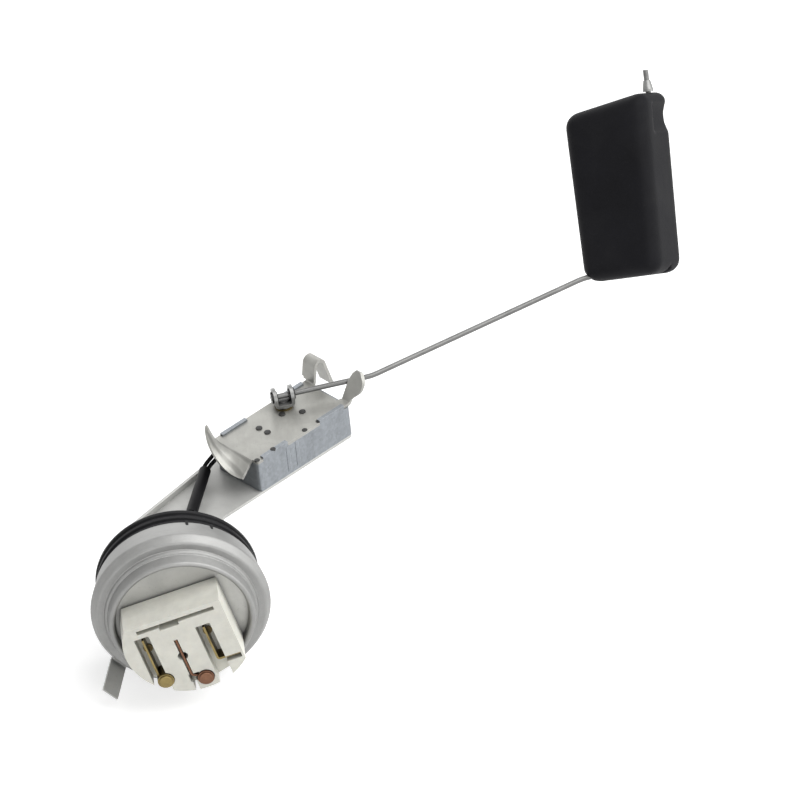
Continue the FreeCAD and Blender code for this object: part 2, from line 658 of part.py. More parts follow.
def make_bracket():
    """The dog-leg bracket: a foot flange on the cap, a wide strip and an arm for the housing."""
    body = new_body("bracket", BRACKET_FRAME)
    foot = FLOOR_BACK
    near = -size("bracket_side_near")
    far = size("bracket_side_far")
    width = size("housing_width")
    length = size("housing_length")
    waist = size("bracket_waist")
    shoulder = LAND + size("bracket_shoulder")
    lead_low = size("lead_window_low")
    lead_high = size("lead_window_high")
    knee = HOUSING_ORIGIN + ALONG * ((HOUSING_ORIGIN.z - near) / math.sin(TILT))
    corner_far = housing_point(2.0, width + waist)
    plate = outline(
        (foot, near, 0), (knee.y, near, 8.0), (*housing_point(0, 0), 0),
        (*housing_point(length, 0), 2.0), (*housing_point(length, width), 2.0),
        (*housing_point(14.0, width), 3.0), (*corner_far, 8.0), (shoulder, far, 10.0),
        (foot, far, 0))
    window = rectangle(LAND + 20.0, lead_low, LAND + 36.0, lead_high, 2.5)
    pad(body, "XY", [plate, window], "sizes.bracket_sheet")
    depth = size("bracket_foot_depth")
    pad(body, "YZ", [outline((near + 1.0, 0, 0), (far - 1.0, 0, 0), (far - 6.0, depth, 3.0),
                             (near + 6.0, depth, 3.0))],
        "sizes.bracket_sheet", "%s" % foot)
    edge = size("bracket_sheet")
    inward = Vector(shoulder - corner_far[0], far - corner_far[1], 0).normalize()
    start = Vector(corner_far[0], corner_far[1], 0) + inward * 7.0
    end = Vector(shoulder, far, 0) - inward * 7.0
    beside = Vector(-inward.y, inward.x, 0) * edge
    pad(body, "XY", [outline((start.x, start.y, 0), (end.x, end.y, 0),
                             (end.x + beside.x, end.y + beside.y, 0),
                             (start.x + beside.x, start.y + beside.y, 0))],
        "sizes.bracket_flange + sizes.bracket_sheet")
    return body


def make_cover():
    """The galvanised cover: a drawn tray with tabs folded over the bearing plate's edges."""
    body = new_body("cover", HOUSING_FRAME)
    length = size("housing_length")
    width = size("housing_width")
    wall = size("cover_sheet")
    corner = size("cover_corner")
    pad(body, "XY", [rectangle(0, 0, length, width, corner)],
        "sizes.housing_height - sizes.plate_sheet")
    pocket(body, "XY", [rectangle(wall, wall, length - wall, width - wall, corner - wall + 0.2)],
           "sizes.housing_height - sizes.plate_sheet - sizes.cover_sheet",
           "sizes.housing_height - sizes.plate_sheet")
    pocket(body, "XY", [circle(size("pivot_length"), size("pivot_width"),
                               size("shaft_radius") + size("running_clearance"))],
           "2 * sizes.cover_sheet", "sizes.cover_sheet")
    slot = size("lead_slot_width") / 2
    middle = size("lead_entry")
    pocket(body, "YZ", [rectangle(middle - slot, PLATE_UNDER - 5.6, middle + slot,
                                  PLATE_UNDER + 1.0)], "4 * sizes.cover_sheet",
           "-sizes.cover_sheet", reverse=True)
    fold = size("fold_length")
    inset = size("fold_inset")
    reach = size("fold_reach")
    for start in (inset + corner, length - inset - corner - fold):
        for base, over in ((0, reach), (width, width - reach)):
            inner = wall if base == 0 else width - wall
            pad(body, "XY", [rectangle(start, min(base, inner), start + fold, max(base, inner))],
                "sizes.plate_sheet + sizes.cover_sheet",
                "sizes.housing_height - sizes.plate_sheet")
            pad(body, "XY", [rectangle(start, min(base, over), start + fold, max(base, over))],
                "sizes.cover_sheet", "sizes.housing_height")
    return body


def horn_edge():
    """Edge of the stop horn across the housing, where the resting arm leans on it."""
    lean = math.radians(size("near_horn_lean"))
    climb = size("wire_height") + size("plate_sheet")
    along = size("housing_length") + size("horn_bend") + climb * math.tan(lean)
    slope = size("arm_knee_width") / size("arm_knee_length")
    middle = size("pivot_width") + (along - size("pivot_length")) * slope
    return middle - (size("wire_radius") + size("horn_clearance")) * math.hypot(1, slope)


def make_bearing_plate():
    """The bearing plate: closes the cover and carries the lead guard and both horns."""
    body = new_body("bearing_plate", HOUSING_FRAME)
    length = size("housing_length")
    width = size("housing_width")
    thick = size("plate_sheet")
    pad(body, "XY", [rectangle(0, 0, length, width, 1.0)], "sizes.plate_sheet",
        "sizes.housing_height - sizes.plate_sheet")
    fold = size("fold_length") + 2 * size("fold_gap")
    inset = size("fold_inset") + size("cover_corner") - size("fold_gap")
    notch = size("cover_sheet") + size("fold_gap")
    notches = []
    for start in (inset, length - inset - fold):
        notches.append(rectangle(start, -1.0, start + fold, notch))
        notches.append(rectangle(start, width - notch, start + fold, width + 1.0))
    notches.append(circle(size("pivot_length"), size("pivot_width"), size("pivot_bush_radius")))
    gap = size("horn_gap")
    low = horn_edge() + gap
    high = width + size("far_horn_reach") - size("far_horn_width") - gap
    notches.append(rectangle(length - 1.6, low, length + 1.0, high, 0.4))
    pocket(body, "XY", notches, "3 * sizes.plate_sheet",
           "sizes.housing_height + sizes.plate_sheet")
    bend = size("horn_bend")
    lean = math.radians(size("near_horn_lean"))
    rise = size("near_horn_height")
    edge = horn_edge()
    blade = size("near_horn_width")
    pad(body, "XZ", [folded([
        (length - 3.0, PLATE_UNDER, 0), (length + bend, PLATE_UNDER, bend),
        (length + bend + rise * math.sin(lean), PLATE_UNDER + rise * math.cos(lean), 0)],
        thick)], "sizes.near_horn_width", "%s" % (blade - edge), reverse=True)
    top = PLATE_UNDER + rise * math.cos(lean) + thick
    middle = (PLATE_TOP + top) / 2
    above = PLATE_TOP + size("wire_height") + size("wire_radius") + 0.5
    below = PLATE_UNDER - thick
    outside = edge - blade
    tip = edge - blade * 0.42
    pocket(body, "YZ", [outline((0.4, below, 0), (0.4, PLATE_TOP + 1.0, 2.0),
                                (outside, middle - 1.5, 3.0), (outside, middle + 2.0, 3.0),
                                (tip, top + 0.6, 0), (outside - 1.0, top + 0.6, 0),
                                (outside - 1.0, below, 0))],
           "30", "sizes.housing_length - 4", reverse=True)
    pocket(body, "YZ", [outline((edge + 0.1, above, 0), (edge * 0.8, top - 2.0, 1.0),
                                (tip, top + 0.6, 0), (edge + 1.0, top + 0.6, 0),
                                (edge + 1.0, above, 0))],
           "30", "sizes.housing_length", reverse=True)
    crest = PLATE_TOP + size("far_horn_height") - thick
    span = size("arch_span")
    pad(body, "XZ", [folded([
        (length - 3.0, PLATE_UNDER, 0), (length + 0.6, PLATE_UNDER, bend),
        (length + span * 0.28, crest, span / 5), (length + span * 0.6, crest, span / 5),
        (length + span, PLATE_TOP - size("far_horn_drop"), 0)], thick)],
        "sizes.far_horn_width", "-(sizes.housing_width + sizes.far_horn_reach"
        " - sizes.far_horn_width)", reverse=True)
    pocket(body, "XY", [rectangle(length - 4.0, width, length + 0.5,
                                  width + size("far_horn_reach") + 1.0)],
           "3 * sizes.plate_sheet", "sizes.housing_height + sizes.plate_sheet")
    start = size("guard_start")
    end = width - size("guard_margin")
    reach = size("guard_reach")
    sections = []
    for share, slope, growth in ((0.0, -42.0, 1.0), (0.42, -10.0, 1.05), (0.8, 42.0, 1.15),
                                 (1.0, 70.0, 1.25)):
        angle = math.radians(slope)
        out = Vector(-math.cos(angle), math.sin(angle), 0) * reach * growth
        under = Vector(-math.sin(angle), -math.cos(angle), 0) * thick
        root = Vector(-0.3, PLATE_TOP, 0)
        sections.append((start + (end - start) * share, outline(
            (0.6, PLATE_TOP, 0), (root.x, root.y, 0), (root.x + out.x, root.y + out.y, 0),
            (root.x + out.x + under.x, root.y + out.y + under.y, 0),
            (root.x - 0.1, PLATE_UNDER, 0), (0.6, PLATE_UNDER, 0))))
    loft_along(body, sections)
    return body


def make_pivot():
    """The pivot: shaft, bearing bush, spring washer and the folded clip that holds the arm."""
    radius = size("shaft_radius")
    hole = radius + size("running_clearance")
    play = size("axial_play")
    bush = new_body("pivot_bush", PIVOT_FRAME)
    pad(bush, "XY", [circle(0, 0, size("pivot_bush_radius") - 0.02), circle(0, 0, hole)],
        "sizes.plate_sheet", "sizes.housing_height - sizes.plate_sheet")
    pad(bush, "XY", [circle(0, 0, size("pivot_bush_flange_radius")), circle(0, 0, hole)],
        "sizes.pivot_bush_flange", "sizes.housing_height")
    base = PLATE_TOP + size("pivot_bush_flange") + play
    washer = new_body("spring_washer", PIVOT_FRAME)
    pad(washer, "XY", [circle(0, 0, radius + 1.7), circle(0, 0, radius + 0.02)],
        "sizes.washer_thickness", "%s" % base)
    seat = base + size("washer_thickness")
    clip = new_body("arm_clip", PIVOT_FRAME)
    half = size("clip_span") / 2
    thick = size("clip_sheet")
    top = seat + thick + size("clip_height")
    section = folded([(-half, top, 0), (-half, seat, 0.4), (half, seat, 0.4), (half, top, 0)],
                     thick)
    pad(clip, "XZ", [section], "sizes.clip_width", "-sizes.clip_width / 2")
    round_off = size("clip_width") / 2
    trims = []
    for side in (-1, 1):
        edge = side * round_off
        trims.append([
            Part.Arc(Vector(edge, top - round_off, 0),
                     Vector(edge * 0.7071, top - round_off * 0.2929, 0), Vector(0, top, 0)),
            Part.LineSegment(Vector(0, top, 0), Vector(0, top + 2.0, 0)),
            Part.LineSegment(Vector(0, top + 2.0, 0), Vector(edge * 1.3, top + 2.0, 0)),
            Part.LineSegment(Vector(edge * 1.3, top + 2.0, 0),
                             Vector(edge * 1.3, top - round_off, 0)),
            Part.LineSegment(Vector(edge * 1.3, top - round_off, 0),
                             Vector(edge, top - round_off, 0))])
    for trim in trims:
        pocket(clip, "YZ", [trim], "3 * sizes.clip_span", "-1.5 * sizes.clip_span", reverse=True)
    pocket(clip, "YZ", [circle(0, PLATE_TOP + size("wire_height"), size("wire_radius") + 0.02)],
           "3 * sizes.clip_span", "-1.5 * sizes.clip_span", reverse=True)
    pocket(clip, "XY", [circle(0, 0, radius + 0.02)], "4", "%s" % (seat + 2.0))
    shaft = new_body("pivot_shaft", PIVOT_FRAME)
    pad(shaft, "XY", [circle(0, 0, radius)], "%s" % (seat + thick - play), "sizes.axial_play")
    pad(shaft, "XY", [circle(0, 0, radius + 0.3)], "0.45", "%s" % (seat + thick))
    return [bush, washer, clip, shaft]


def make_resistor():
    """The resistor: a phenolic former on the cover's floor, its winding and its warning leaf."""
    start = size("former_start")
    length = size("former_length")
    margin = size("former_margin")
    width = size("housing_width")
    floor = "sizes.cover_sheet"
    former = new_body("resistor_former", HOUSING_FRAME)
    pad(former, "XY", [rectangle(start, margin, start + length, width - margin, 0.8)],
        "sizes.former_height", floor)
    middle = start + length / 2
    half = size("winding_width") / 2
    pad(former, "XY", [rectangle(middle - half + 1.0, margin + 2.0, middle + half - 1.0,
                                 width - margin - 2.0)],
        "sizes.winding_height - 0.8", "sizes.cover_sheet + sizes.former_height")
    winding = new_body("resistance_winding", HOUSING_FRAME)
    base = size("cover_sheet") + size("former_height")
    inner = size("winding_height") - 0.8
    pad(winding, "XZ", [
        rectangle(middle - half, base, middle + half, base + size("winding_height"), 0.6)],
        "sizes.housing_width - 2 * sizes.former_margin - 5", "-(sizes.housing_width"
        " - sizes.former_margin - 2.5)")
    pocket(winding, "XZ", [rectangle(middle - half + 1.0, base - 1.0, middle + half - 1.0,
                                     base + inner)], "40", "2", reverse=False)
    leaf = new_body("warning_leaf", HOUSING_FRAME)
    pad(leaf, "XZ", [folded([(start + 0.6, base, 0), (middle, base, 0)], 0.4)], "1.6",
        "-(sizes.housing_width - sizes.former_margin - 0.1)")
    return [former, winding, leaf]


def make_wiper():
    """The wiper: a collar on the shaft, a spring strip and the contact over the winding."""
    frame = HOUSING_FRAME.multiply(FreeCAD.Placement(
        Vector(size("pivot_length"), size("pivot_width"), 0),
        FreeCAD.Rotation(Vector(0, 0, 1), size("wiper_turn"))))
    track = size("cover_sheet") + size("former_height") + size("winding_height")
    strip = track + size("axial_play") + 0.5
    hole = size("shaft_radius") + 0.02
    collar = new_body("wiper_collar", frame)
    pad(collar, "XY", [circle(0, 0, size("wiper_hub_radius")), circle(0, 0, hole)],
        "sizes.wiper_hub_height", "%s" % (strip + size("wiper_sheet")))
    arm = new_body("wiper_strip", frame)
    half = size("wiper_width") / 2
    reach = size("wiper_reach")
    pad(arm, "XY", [outline((-3.4, -half - 0.9, 2.0), (3.4, -half - 0.9, 2.0),
                            (reach * 0.6, -half + 0.6, 6.0), (reach + 1.8, -half + 0.6, 1.0),
                            (reach + 1.8, half - 0.6, 1.0), (reach * 0.6, half - 0.6, 6.0),
                            (3.4, half + 0.9, 2.0), (-3.4, half + 0.9, 2.0)),
                    circle(0, 0, hole)], "sizes.wiper_sheet", "%s" % strip)
    contact = rod("wiper_contact", frame.multiply(FreeCAD.Placement(
        Vector(reach, 0, 0), FreeCAD.Rotation())), "sizes.contact_radius",
        track + size("axial_play"), "0.5")
    return [collar, arm, contact]


def arm_path():
    """The wire's route from its tail at the pivot to its tip above the float."""
    level = PLATE_TOP + size("wire_height")
    pivot = Vector(size("pivot_length"), size("pivot_width"), level)
    knee = Vector(size("arm_knee_length"), size("arm_knee_width"), 0)
    tail = pivot - Vector(knee).normalize() * size("arm_tail")
    groove = size("float_groove") - size("wire_radius")
    entry = FLOAT_FRAME.multVec(Vector(1.0, 3.0, groove))
    bore = FLOAT_FRAME.multVec(Vector(size("float_bore_width"), size("float_bore_depth"), groove))
    head = FLOAT_FRAME.multVec(Vector(size("float_bore_width"), size("float_bore_depth"),
                                      size("float_height_right") + size("arm_tip")))
    bend = size("arm_bend_radius")
    return round_path([(HOUSING_FRAME.multVec(tail), 0), (HOUSING_FRAME.multVec(pivot + knee), bend),
                       (entry, bend), (bore, 4.0), (head, 0)])


def make_float():
    """The arm wire, the foam float that it crosses and the retainer at its tip."""
    path = arm_path()
    wire = add_shape("float_arm", tube(path, size("wire_radius")))
    left = size("float_height_left")
    right = size("float_height_right")
    foot = size("float_width_foot")
    head = size("float_width_head")
    deep = size("float_thickness")
    corner = size("float_corner")
    slope = math.atan2(right - left, head)
    lower = wire_of(rectangle(0, 0, foot, deep, corner))
    upper = wire_of(rectangle(0, 0, head / math.cos(slope), deep, corner))
    upper.Placement = FreeCAD.Placement(
        Vector(0, 0, left), FreeCAD.Rotation(Vector(0, 1, 0), -math.degrees(slope)))
    form = Part.makeLoft([lower, upper], True, False)
    rims = []
    for face in form.Faces:
        if abs(face.normalAt(0, 0).z) > 0.9:
            rims += face.Edges
    form = form.makeFillet(size("float_edge"), rims)
    shape = form.transformed(FLOAT_FRAME.toMatrix())
    clear = tube(path, size("wire_radius") + size("float_bore_clearance"))
    shape = shape.cut(clear)
    entry = Vector(1.0, 3.0, 0)
    bore = Vector(size("float_bore_width"), size("float_bore_depth"), 0)
    run = Vector(bore - entry).normalize()
    beside = Vector(-run.y, run.x, 0) * (size("wire_radius") + size("float_bore_clearance"))
    start = entry - run * 12.0
    mouth = Part.Face(Part.makePolygon([start - beside, bore - beside, bore + beside,
                                        start + beside, start - beside]))
    groove = mouth.extrude(Vector(0, 0, size("float_groove") - size("wire_radius")))
    shape = shape.cut(groove.transformed(FLOAT_FRAME.toMatrix()))
    dent = size("float_notch_depth")
    tall = size("float_notch_height")
    notch = Part.makeCylinder(
        tall * 0.75, head, Vector(head + tall * 0.75 - dent, deep * 0.45, right - 4.0),
        Vector(0, 1, 0))
    shape = shape.cut(notch.transformed(FLOAT_FRAME.toMatrix()))
    seat = FLOAT_FRAME.multiply(FreeCAD.Placement(bore, FreeCAD.Rotation()))
    retainer = new_body("float_retainer", seat.multiply(FreeCAD.Placement(
        Vector(0, 0, 0), FreeCAD.Rotation(Vector(1, 0, 0), 90))))
    low = left + (right - left) / head * (bore.x + size("retainer_radius")) + 0.05
    reach = size("retainer_radius")
    hole = size("wire_radius") + 0.02
    revolve(retainer, [outline((hole, low, 0), (reach, low, 0), (reach, low + 0.9, 0.2),
                               (hole + 0.35, low + size("retainer_height"), 0),
                               (hole, low + size("retainer_height"), 0))])
    return [wire, add_shape("float", shape), retainer]


def make_leads():
    """The two leads from the studs to the resistor, their sleeve and their solder lugs."""
    made = []
    radius = size("lead_radius")
    lift = size("bush_flange") + size("cap_sheet")
    routes = {}
    for name, shift in (("signal", 1.0), ("warning", -1.0)):
        spot = SOCKET_FRAME.multVec(Vector(*STUDS[name], -lift))
        lug = new_body("lug_" + name, frame_at(spot, Vector(0, 0, 1), Vector(1, 0, 0),
                                               Vector(0, 1, 0)))
        side = -1.0 if name == "signal" else 1.0
        reach = size("lug_reach")
        pad(lug, "XY", [outline((-2.6, -2.6, 2.0), (reach, -1.3, 0.6), (reach, 1.3, 0.6),
                                (-2.6, 2.6, 2.0)), circle(0, 0, size("stud_radius") + 0.02)],
            "sizes.lug_thickness")
        if side < 0:
            lug.Placement = lug.Placement.multiply(
                FreeCAD.Placement(Vector(0, 0, 0), FreeCAD.Rotation(Vector(0, 0, 1), 180)))
        made.append(lug)
        tip = lug.Placement.multVec(Vector(reach - 1.2, 0, size("lug_thickness") + radius))
        entry = HOUSING_FRAME.multVec(Vector(-2.0, size("lead_entry") + shift * 1.3,
                                             PLATE_UNDER - 3.0))
        inside = HOUSING_FRAME.multVec(Vector(4.0, size("lead_entry") + shift * 1.3,
                                              PLATE_UNDER - 3.4))
        routes[name] = (tip, entry, inside)
    start = Vector(size("sleeve_x"), LAND + size("sleeve_start"), size("sleeve_z"))
    far_end = Vector(size("sleeve_x"), LAND + size("sleeve_end"), size("sleeve_z_end"))
    run = Vector(far_end - start).normalize()
    for name, shift in (("signal", 1.0), ("warning", -1.0)):
        tip, entry, inside = routes[name]
        beside = run.cross(entry - far_end).normalize() * (-shift * (radius + 0.05))
        near = start + beside
        far = far_end + beside
        along = Vector(far - near).normalize()
        points = [(tip, 0), (tip + Vector(0, 12, 0), 3.0), (near - along * 3.0, 3.0),
                  (far + along * 2.5, 3.0), (entry, 2.5), (inside, 0)]
        made.append(add_shape("lead_" + name, tube(round_path(points), radius)))
    line = Part.Wire([Part.LineSegment(start, far_end).toShape()])
    sleeve = tube(line, size("sleeve_radius")).cut(tube(line, size("sleeve_bore")))
    made.append(add_shape("lead_sleeve", sleeve))
    return made


def build():
    """Every sub-part of the sender."""
    parts = [make_cap(), make_gasket(), make_seal(), make_socket()]
    parts += make_terminals()
    parts += make_studs()
    parts += [make_bracket(), make_cover(), make_bearing_plate()]
    parts += make_pivot() + make_resistor() + make_wiper() + make_float()
    parts += make_leads()
    return parts


def export(parts):
    """Check the whole document, then write one file for each sub-part."""
    document.recompute()
    for item in document.Objects:
        if "Invalid" in item.State or "Error" in item.State:
            raise RuntimeError("%s could not be computed" % item.Label)
    os.makedirs("parts", exist_ok=True)
    for item in parts:
        if item.Shape.isNull() or not item.Shape.isValid():
            raise RuntimeError("%s has no valid shape" % item.Label)
        item.Shape.exportStep("parts/%s.step" % item.Label)
        print("%-22s solids %d  volume %8.1f" % (item.Label, len(item.Shape.Solids),
                                                item.Shape.Volume))


export(build())
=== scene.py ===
"""Fuel level sender: finishes, small pieces and studio stage around its CAD solids."""
import json
import math

import bmesh
import bpy
from mathutils import Matrix, Vector


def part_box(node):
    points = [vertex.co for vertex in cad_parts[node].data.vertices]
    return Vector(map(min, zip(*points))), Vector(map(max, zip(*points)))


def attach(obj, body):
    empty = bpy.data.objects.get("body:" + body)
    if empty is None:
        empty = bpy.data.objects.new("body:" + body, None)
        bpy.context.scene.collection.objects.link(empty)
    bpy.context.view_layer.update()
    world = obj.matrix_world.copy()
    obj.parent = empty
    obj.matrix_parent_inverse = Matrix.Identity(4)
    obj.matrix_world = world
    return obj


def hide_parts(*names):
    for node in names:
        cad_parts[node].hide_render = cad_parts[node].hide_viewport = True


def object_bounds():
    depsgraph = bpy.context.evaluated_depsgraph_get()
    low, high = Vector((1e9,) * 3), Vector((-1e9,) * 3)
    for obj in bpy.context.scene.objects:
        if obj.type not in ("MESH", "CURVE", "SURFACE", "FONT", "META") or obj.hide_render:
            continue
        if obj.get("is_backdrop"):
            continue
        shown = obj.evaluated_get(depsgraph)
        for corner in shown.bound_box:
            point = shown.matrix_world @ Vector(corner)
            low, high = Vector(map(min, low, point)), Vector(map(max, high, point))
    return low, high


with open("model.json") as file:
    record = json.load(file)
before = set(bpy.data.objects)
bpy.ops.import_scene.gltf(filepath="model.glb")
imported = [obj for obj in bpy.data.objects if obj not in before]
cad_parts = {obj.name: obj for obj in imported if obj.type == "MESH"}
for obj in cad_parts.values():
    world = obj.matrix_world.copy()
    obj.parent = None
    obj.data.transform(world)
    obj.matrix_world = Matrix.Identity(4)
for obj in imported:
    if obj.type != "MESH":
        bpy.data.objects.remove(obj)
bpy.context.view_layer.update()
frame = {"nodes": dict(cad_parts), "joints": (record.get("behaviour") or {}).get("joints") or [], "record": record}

bl_info = {
    "name": "Fuel level sender",
    "version": (1, 0, 0),
    "blender": (4, 5, 0),
    "location": "3D View > Sidebar > Level sender",
    "description": "Dresses a tank fuel level sender: cap, socket, resistor housing, arm and float",
    "category": "Object",
}

NODES = frame["nodes"]
EFFECTS = {}
FINISHES = {}
MILLIMETRE = 0.001

# The camera's ways in the shared frame, and the frame's origin as the camera sees it
CAMERA_RIGHT = Vector((-0.0914, -0.0926, -0.9915))
CAMERA_BACK = Vector((0.5906, -0.8067, 0.0209))
CAMERA_OFFSET = Vector((-0.08512, -0.07318, -3.84575))
CAMERA_LENS = 450.0
SENSOR_WIDTH = 36.0

# The housing's ways, and the pivot's place on the bearing plate
HOUSING_TILT = math.radians(51.5)
ALONG = Vector((0.0, math.cos(HOUSING_TILT), -math.sin(HOUSING_TILT)))
ACROSS = Vector((0.0, math.sin(HOUSING_TILT), math.cos(HOUSING_TILT)))
OUTWARD = Vector((1.0, 0.0, 0.0))
PIVOT = Vector(frame["joints"][0]["pos_m"])
PIVOT_ALONG = 31.9 * MILLIMETRE
PIVOT_ACROSS = 18.9 * MILLIMETRE
GUARD_ROOT = PIVOT_ALONG - ALONG.dot(PIVOT)

# The cap's plating: painted light inside its recess and beyond its skirt, on the tab, with rings that are
# this long for each radian round the axis, in metres
RECESS_RADIUS = 0.0257
TAB_RADIUS = 0.0352
RING_STRETCH = 0.012
PAINTED_LIGHT_TONE = (0.60, 0.60, 0.575)

# Tones that no finish changes
DUST = (0.05, 0.05, 0.049)
RUBBED_RUBBER = (0.05, 0.05, 0.052)
WHITE = (1.0, 1.0, 1.0)

# Edges flatter than this look smooth; the terminals' formed ends, in millimetres
SMOOTH_ANGLE = math.radians(35.0)
TERMINAL_END_RADIUS = 3.2

# The float's ways and its lower left front corner, at rest
FLOAT_LEAN = math.radians(35.9)
FLOAT_TWIST = math.radians(27.9)
FLOAT_UP = Vector((math.cos(FLOAT_LEAN), math.sin(FLOAT_LEAN), 0.0))
FLOAT_LEVEL = Vector((-math.sin(FLOAT_LEAN), math.cos(FLOAT_LEAN), 0.0))
DOWN = Vector((0.0, 0.0, -1.0))
FLOAT_RIGHT = DOWN * math.cos(FLOAT_TWIST) - FLOAT_LEVEL * math.sin(FLOAT_TWIST)
FLOAT_BACK = FLOAT_LEVEL * math.cos(FLOAT_TWIST) + DOWN * math.sin(FLOAT_TWIST)
FLOAT_CORNER = Vector((30.0, 124.5, -172.1)) * MILLIMETRE


# Sizes and colours


def colour_property(name, description, default):
    """A colour that the sidebar shows."""
    return bpy.props.FloatVectorProperty(name=name, description=description, subtype="COLOR",
                                         size=3, min=0.0, max=1.0, default=default)


def length_property(name, description, default, least=0.0):
    """A length in metres that the sidebar shows."""
    return bpy.props.FloatProperty(name=name, description=description, subtype="DISTANCE",
                                   unit="LENGTH", min=least, default=default)


class SenderColours(bpy.types.PropertyGroup):
    """Colours of the sender's finishes."""

    cap_steel: colour_property(
        "Cap steel", "Plated sheet of the round cap", (0.31, 0.31, 0.303))
    bracket_steel: colour_property(
        "Bracket steel", "Strip between the cap and the housing", (0.53, 0.53, 0.512))
    galvanised: colour_property(
        "Galvanised cover", "Blue-grey folded cover of the housing", (0.245, 0.262, 0.28))
    tinplate: colour_property(
        "Tin plate", "Light bearing plate on the housing", (0.37, 0.367, 0.343))
    wire: colour_property(
        "Arm wire", "Grey drawn wire of the float arm", (0.16, 0.16, 0.157))
    nylon: colour_property(
        "Nylon", "Warm white nylon of the socket", (0.70, 0.692, 0.625))
    brass: colour_property(
        "Brass", "Olive brass of the outer terminals", (0.24, 0.185, 0.075))
    copper: colour_property(
        "Copper", "Copper of the middle terminal", (0.175, 0.09, 0.055))
    rubber: colour_property(
        "Rubber", "Black rubber of the ribbed gasket", (0.008, 0.008, 0.009))
    foam: colour_property(
        "Foam", "Black moulded foam of the float", (0.0050, 0.0050, 0.0064))
    phenolic: colour_property(
        "Phenolic board", "Brown board that carries the winding", (0.16, 0.075, 0.035))


class SenderSizes(bpy.types.PropertyGroup):
    """Sizes of the pieces that are added to the solids, and of the stage."""

    floor_drop: length_property(
        "Floor drop", "Gap between the sender and the floor sheet", 0.0008)
    floor_reach: length_property(
        "Floor reach", "Half the width of the floor sheet", 6.0, least=0.5)
    rivet_diameter: length_property(
        "Rivet diameter", "Heads of the hollow rivets in the bearing plate", 0.0026,
        least=0.0005)
    skirt_rear_radius: length_property(
        "Skirt rear radius", "Outer radius of the cap's skirt at the gasket", 0.0324,
        least=0.01)
    float_softness: bpy.props.IntProperty(
        name="Float softness", description="How far the float's edges are rolled",
        min=0, default=14)
    light_power: bpy.props.FloatProperty(
        name="Light power", description="Power that the lamps share",
        subtype="POWER", unit="POWER", min=0.0, default=25.0)


# Node tools


def add_node(tree, kind, inputs=None, **settings):
    """Adds a node, with its settings and its input values or links."""
    node = tree.nodes.new(kind)
    for name, value in settings.items():
        setattr(node, name, value)
    for name, value in (inputs or {}).items():
        if isinstance(value, bpy.types.NodeSocket):
            tree.links.new(value, node.inputs[name])
        else:
            node.inputs[name].default_value = value
    return node


def math_node(tree, operation, first, second=0.0, clamp=False):
    """The result socket of a sum or a product of two values or sockets."""
    node = add_node(tree, "ShaderNodeMath", {0: first, 1: second}, operation=operation,
                    use_clamp=clamp)
    return node.outputs[0]


def add_shares(tree, first, first_share, second, second_share):
    """The sum of two patterns, each by its share."""
    return math_node(tree, "ADD", math_node(tree, "MULTIPLY", first, first_share),
                     math_node(tree, "MULTIPLY", second, second_share))


def mix_colours(tree, factor, first, second):
    """The result socket of a mix of two colours or sockets."""
    node = add_node(tree, "ShaderNodeMix", {0: factor, 6: first, 7: second},
                    data_type="RGBA")
    return node.outputs[2]


def ramp(tree, factor, low, high):
    """Stretches the part of a value between low and high to the whole of 0 to 1."""
    node = add_node(tree, "ShaderNodeMapRange",
                    {"Value": factor, "From Min": low, "From Max": high}, clamp=True)
    return node.outputs["Result"]


def object_place(tree, scale=(1.0, 1.0, 1.0), turn=(0.0, 0.0, 0.0)):
    """Object coordinates, scaled and turned."""
    place = add_node(tree, "ShaderNodeTexCoord")
    mapping = add_node(tree, "ShaderNodeMapping",
                       {"Vector": place.outputs["Object"], "Scale": scale, "Rotation": turn})
    return mapping.outputs["Vector"]


def noise(tree, vector, scale, detail=3.0, roughness=0.55, distortion=0.0):
    """The value socket of a noise pattern."""
    node = add_node(tree, "ShaderNodeTexNoise",
                    {"Vector": vector, "Scale": scale, "Detail": detail,
                     "Roughness": roughness, "Distortion": distortion})
    return node.outputs["Fac"]


def new_group(name, inputs, outputs):
    """A shader node group with named value inputs and named outputs."""
    group = bpy.data.node_groups.new(name, "ShaderNodeTree")
    for label, kind, default in inputs:
        socket = group.interface.new_socket(name=label, in_out="INPUT", socket_type=kind)
        if default is not None:
            socket.default_value = default
    for label, kind in outputs:
        group.interface.new_socket(name=label, in_out="OUTPUT", socket_type=kind)
    entry = group.nodes.new("NodeGroupInput")
    leave = group.nodes.new("NodeGroupOutput")
    return group, entry.outputs, leave.inputs


# Shared effects


def build_edge_wear():
    """Mask of rubbed edges: where the rounded normal leaves the flat one, broken by noise."""
    group, given, wanted = new_group(
        "Edge wear",
        [("Radius", "NodeSocketFloat", 0.0005), ("Break up", "NodeSocketFloat", 900.0)],
        [("Mask", "NodeSocketFloat")])
    rounded = add_node(group, "ShaderNodeBevel", {"Radius": given["Radius"]}, samples=4)
    flat = add_node(group, "ShaderNodeNewGeometry")
    match = add_node(group, "ShaderNodeVectorMath",
                     {0: rounded.outputs["Normal"], 1: flat.outputs["True Normal"]},
                     operation="DOT_PRODUCT")
    edge = ramp(group, math_node(group, "SUBTRACT", 1.0, match.outputs["Value"]), 0.02, 0.22)
    patches = noise(group, object_place(group), given["Break up"], detail=4.0)
    broken = ramp(group, patches, 0.38, 0.60)
    group.links.new(math_node(group, "MULTIPLY", edge, broken), wanted["Mask"])
    return group


